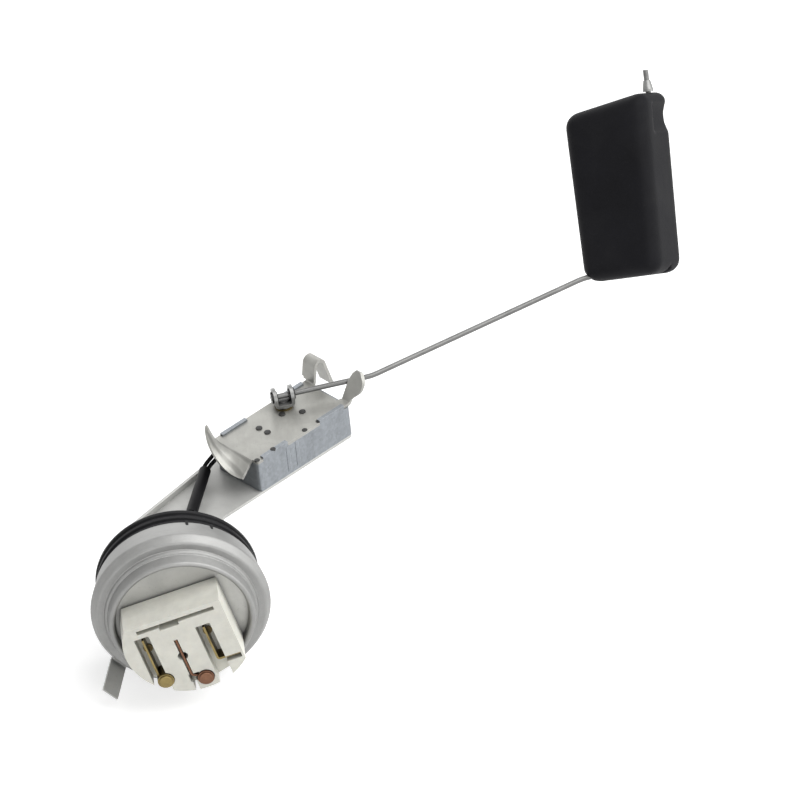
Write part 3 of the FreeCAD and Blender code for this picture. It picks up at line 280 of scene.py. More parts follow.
def build_grain():
    """Fine drawn grain: a value that runs in long streaks along one way."""
    group, given, wanted = new_group(
        "Drawn grain",
        [("Vector", "NodeSocketVector", None), ("Scale", "NodeSocketFloat", 400.0)],
        [("Value", "NodeSocketFloat")])
    coarse = noise(group, given["Vector"], given["Scale"], detail=5.0, roughness=0.65)
    wide = noise(group, given["Vector"],
                 math_node(group, "MULTIPLY", given["Scale"], 0.23), detail=2.0)
    group.links.new(add_shares(group, coarse, 0.65, wide, 0.35), wanted["Value"])
    return group


def build_grime():
    """Mask of handling marks and dust: large soft blotches with fine specks."""
    group, given, wanted = new_group(
        "Handling grime",
        [("Scale", "NodeSocketFloat", 60.0), ("Amount", "NodeSocketFloat", 0.5)],
        [("Mask", "NodeSocketFloat")])
    place = object_place(group)
    blotch = ramp(group, noise(group, place, given["Scale"], detail=5.0, distortion=0.6),
                  0.45, 0.75)
    speck_scale = math_node(group, "MULTIPLY", given["Scale"], 18.0)
    specks = ramp(group, noise(group, place, speck_scale, detail=1.0), 0.66, 0.74)
    both = math_node(group, "ADD", blotch, math_node(group, "MULTIPLY", specks, 0.5),
                     clamp=True)
    group.links.new(math_node(group, "MULTIPLY", both, given["Amount"]), wanted["Mask"])
    return group


def build_crease_shade():
    """Mask of painted shade in inner corners and crevices, found by ambient occlusion."""
    group, given, wanted = new_group(
        "Crease shade", [("Distance", "NodeSocketFloat", 0.002)],
        [("Mask", "NodeSocketFloat")])
    shade = add_node(group, "ShaderNodeAmbientOcclusion", {"Distance": given["Distance"]},
                     samples=6)
    open_share = ramp(group, shade.outputs["AO"], 0.25, 0.85)
    group.links.new(math_node(group, "SUBTRACT", 1.0, open_share), wanted["Mask"])
    return group


def effect(tree, name, **inputs):
    """Places a shared effect in a material, with that material's own values."""
    given = {label.replace("_", " ").capitalize(): value for label, value in inputs.items()}
    return add_node(tree, "ShaderNodeGroup", given, node_tree=EFFECTS[name]).outputs[0]


def opaque(colour):
    """A colour with full alpha."""
    return (*colour, 1.0)


def scaled(colour, factor):
    """A colour made darker or lighter, kept between 0 and 1."""
    return tuple(min(1.0, channel * factor) for channel in colour)


def new_finish(name, metallic, roughness, **sockets):
    """A material with its shader's constant values set."""
    material = bpy.data.materials.new(name)
    material.use_nodes = True
    shader = material.node_tree.nodes["Principled BSDF"]
    shader.inputs["Metallic"].default_value = metallic
    shader.inputs["Roughness"].default_value = roughness
    for label, value in sockets.items():
        shader.inputs[label.replace("_", " ")].default_value = value
    return material, material.node_tree, shader


def wire_up(tree, shader, colour, roughness, height, depth, strength):
    """Leads a colour, a roughness pattern, if there is one, and a relief to the shader."""
    tree.links.new(colour, shader.inputs["Base Color"])
    if roughness is not None:
        tree.links.new(roughness, shader.inputs["Roughness"])
    bump = add_node(tree, "ShaderNodeBump",
                    {"Height": height, "Distance": depth, "Strength": strength})
    tree.links.new(bump.outputs["Normal"], shader.inputs["Normal"])


# Layers that the finishes share


def two_tone(tree, pattern, colour, dark, light, low=0.3, high=0.7):
    """A colour that runs from a darker to a lighter tone with a pattern."""
    return mix_colours(tree, ramp(tree, pattern, low, high), opaque(scaled(colour, dark)),
                       opaque(scaled(colour, light)))


def soil(tree, below, colour, scale, amount):
    """Lays handling marks of one colour over a colour."""
    marks = effect(tree, "grime", scale=scale, amount=amount)
    return mix_colours(tree, marks, below, opaque(colour))


def shade_creases(tree, below, colour, distance, share):
    """Darkens a colour in the inner corners, as painted shade."""
    corners = effect(tree, "crease", distance=distance)
    return mix_colours(tree, math_node(tree, "MULTIPLY", corners, share), below, opaque(colour))


def rub_edges(tree, below, colour, radius, break_up, share=1.0):
    """Shows rubbed edges in another colour."""
    edges = effect(tree, "wear", radius=radius, break_up=break_up)
    return mix_colours(tree, math_node(tree, "MULTIPLY", edges, share), below, opaque(colour))


def roughen(tree, least, pattern, span):
    """A roughness that rises from its least value with a pattern."""
    return math_node(tree, "ADD", least, math_node(tree, "MULTIPLY", pattern, span))


def turned_place(tree):
    """Coordinates that run round the cap's axis, so that a pattern turns into rings."""
    place = add_node(tree, "ShaderNodeTexCoord")
    parts = add_node(tree, "ShaderNodeSeparateXYZ", {"Vector": place.outputs["Object"]})
    across, along, up = (parts.outputs[way] for way in "XYZ")
    radius = math_node(tree, "SQRT", math_node(
        tree, "ADD", math_node(tree, "MULTIPLY", across, across),
        math_node(tree, "MULTIPLY", up, up)))
    angle = math_node(tree, "ARCTAN2", up, across)
    rings = add_node(tree, "ShaderNodeCombineXYZ", {
        "X": radius, "Y": along, "Z": math_node(tree, "MULTIPLY", angle, RING_STRETCH)})
    return rings.outputs["Vector"], radius


# Finishes


def finish_sheet_steel(name, colour, grain_scale, grain_way, spread=0.18, roughness=0.34,
                       metallic=0.85, worn=1.35, dirt=0.45):
    """Plated sheet: streaked grain, blotches, painted shade in the corners and lighter rubbed edges."""
    material, tree, shader = new_finish(name, metallic, roughness)
    streaks = effect(tree, "grain", vector=object_place(tree, grain_way), scale=grain_scale)
    base = two_tone(tree, streaks, colour, 1.0 - spread, 1.0 + spread)
    soiled = soil(tree, base, scaled(colour, 0.62), scale=55.0, amount=dirt)
    # Painted shade: the colour darkens in the inner corners.
    corner_shaded = shade_creases(tree, soiled, scaled(colour, 0.30), distance=0.0025, share=0.75)
    rubbed = rub_edges(tree, corner_shaded, scaled(colour, worn), radius=0.0005, break_up=700.0)
    rough = roughen(tree, roughness - 0.08, streaks, 0.22)
    wire_up(tree, shader, rubbed, rough, streaks, depth=0.00004, strength=0.35)
    return material


def finish_cap(name, colour):
    """Plated cap: turned rings, clouds, painted light on its floor and tab, painted shade in its corners, worn
    edges.
    """
    material, tree, shader = new_finish(name, 0.66, 0.5)
    place, radius = turned_place(tree)
    rings = effect(tree, "grain", vector=place, scale=900.0)
    clouds = noise(tree, object_place(tree), 90.0, detail=5.0)
    tone = add_shares(tree, rings, 0.6, clouds, 0.4)
    plated = two_tone(tree, tone, colour, 0.86, 1.12)
    # Painted light: the recess floor and the tab are mixed towards a lighter tone.
    painted_light = math_node(tree, "ADD", ramp(tree, radius, RECESS_RADIUS, RECESS_RADIUS - 0.0006),
                       ramp(tree, radius, TAB_RADIUS, TAB_RADIUS + 0.0012))
    base = mix_colours(tree, math_node(tree, "MULTIPLY", painted_light, 0.7), plated,
                       opaque(PAINTED_LIGHT_TONE))
    soiled = soil(tree, base, scaled(colour, 0.66), scale=65.0, amount=0.35)
    # Painted shade: the colour darkens in the inner corners.
    corner_shaded = shade_creases(tree, soiled, scaled(colour, 0.32), distance=0.003, share=0.45)
    rubbed = rub_edges(tree, corner_shaded, scaled(colour, 1.5), radius=0.0006, break_up=500.0,
                       share=0.6)
    rough = roughen(tree, 0.42, tone, 0.18)
    wire_up(tree, shader, rubbed, rough, tone, depth=0.00003, strength=0.35)
    return material


def finish_plate(name, colour):
    """Bearing plate: rolled tin with long streaks, bands pressed into the lead guard and darkened there with
    painted shade, and painted shade in the corners.
    """
    material, tree, shader = new_finish(name, 0.6, 0.40)
    turn = (HOUSING_TILT, 0.0, 0.0)
    streaks = effect(tree, "grain", vector=object_place(tree, (1.0, 0.18, 1.0), turn),
                     scale=300.0)
    base = two_tone(tree, streaks, colour, 0.84, 1.12)
    soiled = soil(tree, base, scaled(colour, 0.58), scale=70.0, amount=0.5)
    place = add_node(tree, "ShaderNodeTexCoord").outputs["Object"]
    beyond = add_node(tree, "ShaderNodeVectorMath", {0: place, 1: tuple(-ALONG)},
                      operation="DOT_PRODUCT")
    # Painted shade on the lead guard: wavy bands darken the tin, and the relief presses the same bands in as
    # grooves.
    guard = ramp(tree, beyond.outputs["Value"], GUARD_ROOT, GUARD_ROOT + MILLIMETRE)
    bands = add_node(tree, "ShaderNodeTexWave",
                     {"Vector": object_place(tree, turn=turn), "Scale": 62.0,
                      "Distortion": 0.9, "Detail": 2.0, "Detail Scale": 3.0},
                     bands_direction="Y")
    guard_groove_shade = math_node(tree, "MULTIPLY", guard, ramp(tree, bands.outputs["Fac"], 0.55, 0.95))
    pressed = mix_colours(tree, math_node(tree, "MULTIPLY", guard_groove_shade, 0.5), soiled,
                          opaque(scaled(colour, 0.35)))
    # Painted shade: the colour darkens in the inner corners.
    corner_shaded = shade_creases(tree, pressed, scaled(colour, 0.28), distance=0.0025, share=0.75)
    rubbed = rub_edges(tree, corner_shaded, scaled(colour, 1.4), radius=0.0005, break_up=700.0)
    rough = roughen(tree, 0.32, streaks, 0.2)
    height = math_node(tree, "SUBTRACT", math_node(tree, "MULTIPLY", streaks, 0.25), guard_groove_shade)
    wire_up(tree, shader, rubbed, rough, height, depth=0.00015, strength=0.5)
    return material


def finish_solder(name, colour):
    """Solder: dull grey, slightly cratered."""
    material, tree, shader = new_finish(name, 0.8, 0.38)
    clouds = noise(tree, object_place(tree), 900.0, detail=4.0)
    base = mix_colours(tree, clouds, opaque(scaled(colour, 0.6)), opaque(scaled(colour, 1.2)))
    wire_up(tree, shader, base, None, clouds, depth=0.00008, strength=0.6)
    return material


def finish_galvanised(name, colour):
    """Galvanised sheet: zinc spangle, rolling streaks and dull white bloom."""
    material, tree, shader = new_finish(name, 0.8, 0.42)
    spangle = add_node(tree, "ShaderNodeTexVoronoi",
                       {"Vector": object_place(tree), "Scale": 900.0, "Randomness": 1.0})
    flake = add_node(tree, "ShaderNodeSeparateColor", {"Color": spangle.outputs["Color"]})
    streaks = effect(tree, "grain", vector=object_place(tree, (0.12, 1.0, 1.0)), scale=420.0)
    tone = add_shares(tree, flake.outputs["Red"], 0.22, streaks, 0.78)
    base = two_tone(tree, tone, colour, 0.80, 1.18)
    dulled = soil(tree, base, scaled(colour, 1.2), scale=50.0, amount=0.35)
    # Painted shade: the colour darkens in the inner corners.
    corner_shaded = shade_creases(tree, dulled, scaled(colour, 0.28), distance=0.003, share=0.8)
    rubbed = rub_edges(tree, corner_shaded, scaled(colour, 1.7), radius=0.0004, break_up=800.0)
    rough = roughen(tree, 0.30, tone, 0.25)
    wire_up(tree, shader, rubbed, rough, tone, depth=0.00004, strength=0.3)
    return material


def finish_plastic(name, colour, roughness, mottle_scale, relief, translucent=0.0):
    """Moulded nylon or board: faint mottle, painted shade in the corners and a matt skin."""
    material, tree, shader = new_finish(name, 0.0, roughness, Subsurface_Weight=translucent,
                                        Subsurface_Radius=(0.0012, 0.0009, 0.0006))
    place = object_place(tree)
    mottle = noise(tree, place, mottle_scale, detail=5.0, roughness=0.6)
    base = two_tone(tree, mottle, colour, 0.93, 1.05)
    soiled = soil(tree, base, scaled(colour, 0.5), scale=70.0, amount=0.10)
    # Painted shade: the colour darkens in the inner corners.
    corner_shaded = shade_creases(tree, soiled, scaled(colour, 0.55), distance=0.005, share=0.45)
    rough = roughen(tree, roughness - 0.06, mottle, 0.14)
    fine = noise(tree, place, mottle_scale * 6.0, detail=3.0)
    wire_up(tree, shader, corner_shaded, rough, fine, depth=relief, strength=0.4)
    return material


def finish_rubber(name, colour, roughness, pore_scale, relief, sheen=0.16):
    """Rubber or foam: fine pores, dusty lighter patches and rubbed grey edges."""
    material, tree, shader = new_finish(name, 0.0, roughness, Specular_IOR_Level=sheen)
    place = object_place(tree)
    pores = add_node(tree, "ShaderNodeTexVoronoi", {"Vector": place, "Scale": pore_scale},
                     feature="DISTANCE_TO_EDGE")
    pore = ramp(tree, pores.outputs["Distance"], 0.0, 0.35)
    clouds = noise(tree, place, pore_scale * 0.06, detail=6.0, roughness=0.65)
    base = two_tone(tree, clouds, colour, 0.75, 1.5, high=0.75)
    dusty = soil(tree, base, DUST, scale=48.0, amount=0.08)
    rubbed = rub_edges(tree, dusty, RUBBED_RUBBER, radius=0.0009, break_up=350.0, share=0.5)
    grainy = noise(tree, place, pore_scale * 3.0, detail=2.0)
    height = add_shares(tree, pore, 0.6, grainy, 0.4)
    rough = roughen(tree, roughness - 0.1, clouds, 0.2)
    wire_up(tree, shader, rubbed, rough, height, depth=relief, strength=0.5)
    return material


def finish_terminal(name, colour, tarnish):
    """Brass or copper blade: drawn streaks, dark tarnish in patches, and painted shade in the corners and troughs.
    """
    material, tree, shader = new_finish(name, 0.9, 0.34)
    streaks = effect(tree, "grain", vector=object_place(tree, (1.0, 0.2, 1.0)), scale=900.0)
    base = two_tone(tree, streaks, colour, 0.85, 1.25)
    stained = soil(tree, base, tarnish, scale=180.0, amount=0.6)
    # Painted shade: a dark tarnish tone in the inner corners and troughs.
    corner_shaded = shade_creases(tree, stained, scaled(tarnish, 0.5), distance=0.006, share=0.9)
    rubbed = rub_edges(tree, corner_shaded, scaled(colour, 1.5), radius=0.0002, break_up=1500.0)
    rough = roughen(tree, 0.24, streaks, 0.25)
    wire_up(tree, shader, rubbed, rough, streaks, depth=0.00002, strength=0.3)
    return material


# Blender work on meshes


def start_clean():
    """Leaves nothing selected, in object mode."""
    if bpy.context.object and bpy.context.object.mode != "OBJECT":
        bpy.ops.object.mode_set(mode="OBJECT")
    bpy.ops.object.select_all(action="DESELECT")


def pick(piece):
    """Makes one piece the only selected and the active one."""
    start_clean()
    bpy.context.view_layer.objects.active = piece
    piece.select_set(True)


def keep_place_in_mesh(piece):
    """Puts a piece's place, turn and scale into its mesh."""
    pick(piece)
    bpy.ops.object.transform_apply(location=True, rotation=True, scale=True)


def apply_modifier(piece, modifier):
    """Applies one modifier of a piece."""
    pick(piece)
    bpy.ops.object.modifier_apply(modifier=modifier.name)


def housing_place(along, across, up=0.0):
    """A matrix for a spot on the bearing plate, in millimetres from its near lead-end corner."""
    spot = (PIVOT + ALONG * (along * MILLIMETRE - PIVOT_ALONG)
            + ACROSS * (across * MILLIMETRE - PIVOT_ACROSS) + OUTWARD * (up * MILLIMETRE))
    return Matrix.Translation(spot) @ Matrix((ALONG, ACROSS, OUTWARD)).transposed().to_4x4()


def terminal_end(name):
    """The middle of a lower terminal's formed end, just under its outer face."""
    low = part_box(f"terminal_{name}")[0]
    reach = TERMINAL_END_RADIUS * MILLIMETRE
    return Vector((low.x + reach, low.y + 0.3 * MILLIMETRE, low.z + reach))


def settle(piece, place, finish, body="sender"):
    """Moves a piece to its place, keeps that in its mesh, finishes it and hangs it on a body."""
    piece.matrix_world = place @ piece.matrix_world
    keep_place_in_mesh(piece)
    bpy.ops.object.shade_smooth_by_angle(angle=SMOOTH_ANGLE)
    piece.data.materials.clear()
    piece.data.materials.append(FINISHES[finish])
    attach(piece, body)


def set_out(first, stem, places, finish, body="sender"):
    """Copies a piece, with its own mesh, for each further place and settles them all."""
    pieces = [first]
    for number in range(2, len(places) + 1):
        twin = first.copy()
        twin.data = first.data.copy()
        twin.name = f"{stem}_{number}"
        bpy.context.scene.collection.objects.link(twin)
        pieces.append(twin)
    for piece, place in zip(pieces, places):
        settle(piece, place, finish, body)


def apply_bevel(piece, width, segments=3, angle=35.0):
    """Rounds a piece's sharp edges for good, by a width in millimetres."""
    bevel = piece.modifiers.new("Rounding", "BEVEL")
    bevel.width = width * MILLIMETRE
    bevel.segments = segments
    bevel.limit_method = "ANGLE"
    bevel.angle_limit = math.radians(angle)
    apply_modifier(piece, bevel)


def select_parts(piece, chosen, kind="faces"):
    """Opens a piece in edit mode with only the faces or verts selected that a test chooses."""
    bpy.ops.object.mode_set(mode="EDIT")
    bpy.ops.mesh.select_all(action="DESELECT")
    shape = bmesh.from_edit_mesh(piece.data)
    for part in getattr(shape, kind):
        part.select = chosen(part)
    shape.select_flush_mode()
    bmesh.update_edit_mesh(piece.data)


def faces_up(face):
    """Whether a face looks up."""
    return face.normal.z > 0.9


def press_top(piece, steps, rounding, **bevel):
    """Insets and lifts a piece's top face, step by step, then rounds the piece's edges."""
    select_parts(piece, faces_up)
    for inset, lift in steps:
        bpy.ops.mesh.inset(thickness=inset * MILLIMETRE)
        bpy.ops.transform.translate(value=(0.0, 0.0, lift * MILLIMETRE))
    bpy.ops.object.mode_set(mode="OBJECT")
    apply_bevel(piece, rounding, **bevel)


def add_disc(name, radius, height, vertices=40):
    """A short cylinder on its own foot, in millimetres, ready to be shaped."""
    start_clean()
    bpy.ops.mesh.primitive_cylinder_add(
        vertices=vertices, radius=radius * MILLIMETRE, depth=height * MILLIMETRE,
        location=(0.0, 0.0, height * MILLIMETRE / 2))
    piece = bpy.context.object
    piece.name = name
    keep_place_in_mesh(piece)
    return piece


def add_block(name, low, high):
    """A box between two corners, in millimetres, ready to be shaped."""
    start_clean()
    middle = [(a + b) / 2 * MILLIMETRE for a, b in zip(low, high)]
    bpy.ops.mesh.primitive_cube_add(size=1.0, location=middle)
    piece = bpy.context.object
    piece.name = name
    piece.scale = [abs(b - a) * MILLIMETRE for a, b in zip(low, high)]
    keep_place_in_mesh(piece)
    return piece


# Operators. Their own sizes are in millimetres.


class SENDER_OT_effects(bpy.types.Operator):
    """Builds the shared effects: edge wear, drawn grain, grime and crease shade"""

    bl_idname = "sender.effects"
    bl_label = "Shared effects"

    def execute(self, context):
        EFFECTS["wear"] = build_edge_wear()
        EFFECTS["grain"] = build_grain()
        EFFECTS["grime"] = build_grime()
        EFFECTS["crease"] = build_crease_shade()
        return {"FINISHED"}


class SENDER_OT_finishes(bpy.types.Operator):
    """Makes every finish and gives each solid its own"""

    bl_idname = "sender.finishes"
    bl_label = "Finishes"

    own = {"arm_clip": "clip_steel"}

    def execute(self, context):
        tones = context.scene.sender_colours
        FINISHES["cap_steel"] = finish_cap("Cap steel", tones.cap_steel)
        FINISHES["tinplate"] = finish_plate("Tin plate", tones.tinplate)
        FINISHES["solder"] = finish_solder("Solder", tones.bracket_steel)
        FINISHES["galvanised"] = finish_galvanised("Galvanised cover", tones.galvanised)
        self.steels(tones)
        self.moulded(tones)
        for slot, name, colour, tarnish in (
                ("brass", "Brass", tones.brass, (0.12, 0.09, 0.045)),
                ("copper", "Copper", tones.copper, (0.10, 0.05, 0.035)),
                ("resistance_wire", "Resistance wire", scaled(tones.brass, 0.9),
                 (0.14, 0.11, 0.08))):
            FINISHES[slot] = finish_terminal(name, colour, tarnish)
        for part in frame["record"]["subparts"]:
            solid = NODES[part["node"]]
            finish = FINISHES[self.own.get(part["node"], part["material_slot"])]
            if not solid.material_slots:
                solid.data.materials.append(finish)
            for place in solid.material_slots:
                place.material = finish
        return {"FINISHED"}

    def steels(self, tones):
        """Sheet and wire: colour, grain scale, grain way and the finish's own settings."""
        for slot, name, colour, scale, way, settings in (
                ("bracket_steel", "Bracket steel", tones.bracket_steel, 240.0,
                 (1.0, 0.2, 0.2), {"spread": 0.16, "roughness": 0.5, "metallic": 0.4}),
                ("dark_steel", "Dark steel", scaled(tones.wire, 0.26), 700.0,
                 (1.0, 1.0, 1.0), {"spread": 0.25, "roughness": 0.45, "metallic": 0.6}),
                ("clip_steel", "Clip steel", scaled(tones.wire, 1.45), 600.0,
                 (1.0, 0.4, 1.0), {"spread": 0.22, "roughness": 0.36}),
                ("pivot_steel", "Pivot steel", scaled(tones.wire, 1.4), 500.0,
                 (1.0, 1.0, 1.0), {"spread": 0.2}),
                ("wire_steel", "Arm wire", tones.wire, 420.0, (1.0, 0.25, 0.4),
                 {"spread": 0.22, "roughness": 0.40, "worn": 1.6, "dirt": 0.5})):
            FINISHES[slot] = finish_sheet_steel(name, colour, scale, way, **settings)

    def moulded(self, tones):
        """Plastic, foam and rubber: colour, roughness, scale of the pattern, its relief."""
        for slot, make, name, values, settings in (
                ("nylon", finish_plastic, "Nylon", (tones.nylon, 0.46, 260.0, 0.00002),
                 {"translucent": 0.12}),
                ("phenolic", finish_plastic, "Phenolic board",
                 (tones.phenolic, 0.55, 600.0, 0.00003), {}),
                ("foam", finish_rubber, "Float foam", (tones.foam, 0.58, 900.0, 0.00006),
                 {"sheen": 0.11}),
                ("rubber_black", finish_rubber, "Black rubber",
                 (tones.rubber, 0.55, 1500.0, 0.00003), {}),
                ("insulation", finish_rubber, "Lead insulation",
                 (scaled(tones.rubber, 0.7), 0.42, 2600.0, 0.00001), {"sheen": 0.08})):
            FINISHES[slot] = make(name, *values, **settings)


class SENDER_OT_plate_rivets(bpy.types.Operator):
    """Adds the hollow rivets that hold the former and the wiper stop to the bearing plate"""

    bl_idname = "sender.plate_rivets"
    bl_label = "Plate rivets"

    rise = 0.45
    sunk = 0.35
    rim_share = 0.42
    hollow = 0.5
    taper = 0.8
    rounding = 0.14
    spots = ((27.6, 15.4), (33.8, 10.4), (15.6, 15.8), (15.9, 11.3))

    def execute(self, context):
        radius = context.scene.sender_sizes.rivet_diameter / MILLIMETRE / 2
        first = add_disc("plate_rivet_1", radius, self.rise + self.sunk)
        select_parts(first, faces_up)
        bpy.ops.mesh.inset(thickness=radius * self.rim_share * MILLIMETRE)
        bpy.ops.mesh.extrude_region_move(
            TRANSFORM_OT_translate={"value": (0.0, 0.0, -self.hollow * MILLIMETRE)})
        bpy.ops.transform.resize(value=(self.taper, self.taper, 1.0))
        bpy.ops.object.mode_set(mode="OBJECT")
        apply_bevel(first, self.rounding)
        places = [housing_place(along, across, -self.sunk) for along, across in self.spots]
        set_out(first, "plate_rivet", places, "dark_steel")
        return {"FINISHED"}


class SENDER_OT_edge_clinches(bpy.types.Operator):
    """Adds the small pressed clinches along the near edge, where the plate meets the cover"""

    bl_idname = "sender.edge_clinches"
    bl_label = "Edge clinches"

    radius = 1.1
    height = 0.6
    sunk = 0.48
    dimple = ((0.3, -0.25),)
    rounding = 0.1
    spots = ((0.95, 1.3, 0.1), (9.2, 0.95, 0.9), (26.2, 1.1, 0.1), (33.6, 1.1, 0.1))

    def execute(self, context):
        first = add_disc("edge_clinch_1", self.radius, self.height, vertices=32)
        press_top(first, self.dimple, self.rounding)
        places = [housing_place(along, across, top - self.sunk)
                  for along, across, top in self.spots]
        set_out(first, "edge_clinch", places, "dark_steel")
        return {"FINISHED"}


class SENDER_OT_cover_creases(bpy.types.Operator):
    """Adds the pressed stiffening creases on the near side of the cover"""

    bl_idname = "sender.cover_creases"
    bl_label = "Cover creases"

    corners = ((-0.9, -0.16, -13.2), (0.9, 0.3, -1.5))
    rim = 0.3
    crest = (0.7, 1.0, 0.98)
    rounding = 0.12
    spots = (15.8, 20.6)

    def execute(self, context):
        first = add_block("cover_crease_1", *self.corners)
        select_parts(first, lambda face: face.normal.y < -0.9)
        bpy.ops.mesh.inset(thickness=self.rim * MILLIMETRE)
        bpy.ops.transform.resize(value=self.crest)
        bpy.ops.object.mode_set(mode="OBJECT")
        apply_bevel(first, self.rounding)
        places = [housing_place(along, 0.0) for along in self.spots]
        set_out(first, "cover_crease", places, "galvanised")
        return {"FINISHED"}


class SENDER_OT_gasket_lips(bpy.types.Operator):
    """Adds the small rubber lips that hold the gasket over the skirt's rear edge"""

    bl_idname = "sender.gasket_lips"
    bl_label = "Gasket lips"

    corners = ((-0.55, -4.2, -0.35), (0.55, 0.6, 0.55))
    tip = (0.55, 1.0, 0.6)
    rounding = 0.22
    angles = (-11.4, -28.6, 92.0, 150.0, 212.0, 268.0)

    def execute(self, context):
        first = add_block("gasket_lip_1", *self.corners)
        select_parts(first, lambda face: face.normal.y < -0.9)
        bpy.ops.transform.resize(value=self.tip)
        bpy.ops.object.mode_set(mode="OBJECT")
        apply_bevel(first, self.rounding)
        skirt = context.scene.sender_sizes.skirt_rear_radius
        axis = Vector((0.0, 1.0, 0.0))
        places = []
        for angle in self.angles:
            turn = math.radians(angle)
            outward = Vector((math.cos(turn), 0.0, math.sin(turn)))
            ways = Matrix((axis.cross(outward), axis, outward)).transposed()
            places.append(Matrix.Translation(outward * skirt) @ ways.to_4x4())
        set_out(first, "gasket_lip", places, "rubber_black")
        return {"FINISHED"}


class SENDER_OT_solder_joints(bpy.types.Operator):
    """Adds the solder that fixes the lead lugs to their studs behind the cap"""

    bl_idname = "sender.solder_joints"
    bl_label = "Solder joints"

    radius = 2.3
    flatness = 0.42
    sunk = 0.1

    def execute(self, context):
        for name in ("signal", "warning"):
            blob = self.add_blob(f"solder_{name}")
            low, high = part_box(f"stud_{name}")
            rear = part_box(f"lug_{name}")[1].y
            foot = Vector(((low.x + high.x) / 2, rear - self.sunk * MILLIMETRE,
                           (low.z + high.z) / 2))
            place = Matrix.Translation(foot) @ Matrix.Rotation(math.radians(-90.0), 4, "X")
            settle(blob, place, "solder")
        return {"FINISHED"}

    def add_blob(self, name):
        """A flat dome, cut from a ball."""
        start_clean()
        bpy.ops.mesh.primitive_uv_sphere_add(segments=28, ring_count=16,
                                             radius=self.radius * MILLIMETRE)
        blob = bpy.context.object
        blob.name = name
        bpy.ops.object.mode_set(mode="EDIT")
        bpy.ops.mesh.select_all(action="SELECT")
        bpy.ops.mesh.bisect(plane_co=(0.0, 0.0, 0.0), plane_no=(0.0, 0.0, 1.0),
                            use_fill=True, clear_inner=True)
        bpy.ops.mesh.select_all(action="SELECT")
        bpy.ops.transform.resize(value=(1.0, 1.0, self.flatness))
        bpy.ops.object.mode_set(mode="OBJECT")
        return blob


class SENDER_OT_contact_rivets(bpy.types.Operator):
    """Adds the domed rivets that close the formed ends of the two lower terminals"""

    bl_idname = "sender.contact_rivets"
    bl_label = "Contact rivets"

    wall = 0.6
    height = 0.9
    dome = ((0.9, 0.3),)
    rounding = 0.35

    def execute(self, context):
        for name, finish in (("signal", "brass"), ("ground", "copper")):
            rivet = add_disc(f"contact_rivet_{name}", TERMINAL_END_RADIUS - self.wall,
                             self.height)
            press_top(rivet, self.dome, self.rounding, segments=4, angle=15.0)
            place = (Matrix.Translation(terminal_end(name))
                     @ Matrix.Rotation(math.radians(90.0), 4, "X"))
            settle(rivet, place, finish)
        return {"FINISHED"}


class SENDER_OT_wire_collars(bpy.types.Operator):
    """Adds the two curled collars of the clip that hold the arm wire over the pivot"""

    bl_idname = "sender.wire_collars"
    bl_label = "Wire collars"

    radius = 2.25
    length = 2.3
    rim = 0.75
    waist = 0.8
    rounding = 0.3
    wire_rise = 5.0
    wire_way = (31.2, -17.8)
    starts = (-4.6, 2.3)

    def execute(self, context):
        first = add_disc("wire_collar_1", self.radius, self.length, vertices=48)
        select_parts(first, lambda face: abs(face.normal.z) > 0.9)
        bpy.ops.mesh.inset(thickness=self.rim * MILLIMETRE, use_individual=True)
        bpy.ops.transform.resize(value=(1.0, 1.0, self.waist))
        bpy.ops.object.mode_set(mode="OBJECT")
        apply_bevel(first, self.rounding)
        way = Vector((*self.wire_way, 0.0)).normalized()
        way = ALONG * way.x + ACROSS * way.y
        turn = Matrix((OUTWARD, OUTWARD.cross(way), way)).transposed().to_4x4()
        wire = PIVOT + OUTWARD * self.wire_rise * MILLIMETRE
        places = [Matrix.Translation(wire + way * start * MILLIMETRE) @ turn
                  for start in self.starts]
        set_out(first, "wire_collar", places, "clip_steel", body="arm")
        return {"FINISHED"}


class SENDER_OT_spot_welds(bpy.types.Operator):
    """Adds the spot welds that hold the bracket's foot to the cap and its strip to the cover"""

    bl_idname = "sender.spot_welds"
    bl_label = "Spot welds"

    radius = 2.1
    height = 0.3
    dimple = ((0.5, -0.16), (0.6, 0.06))
    rounding = 0.08
    sunk = 0.14
    foot_rise = 5.0
    sheet = 1.2
    foot_spots = (-12.5, -1.0, 13.5)
    strip_spots = ((10.0, 12.3), (38.0, 12.3))

    def execute(self, context):
        first = add_disc("spot_weld_1", self.radius, self.height)
        press_top(first, self.dimple, self.rounding)
        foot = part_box("bracket")[0]
        height = foot.x + self.foot_rise * MILLIMETRE
        rear = foot.y + (self.sheet - self.sunk) * MILLIMETRE
        rearward = Matrix.Rotation(math.radians(-90.0), 4, "X")
        places = [Matrix.Translation((height, rear, side * MILLIMETRE)) @ rearward
                  for side in self.foot_spots]
        downward = Matrix.Rotation(math.radians(-90.0), 4, "Y")
        for along, across in self.strip_spots:
            spot = housing_place(along, across).to_translation()
            spot.x = foot.x + self.sunk * MILLIMETRE
            places.append(Matrix.Translation(spot) @ downward)
        set_out(first, "spot_weld", places, "bracket_steel")
        return {"FINISHED"}


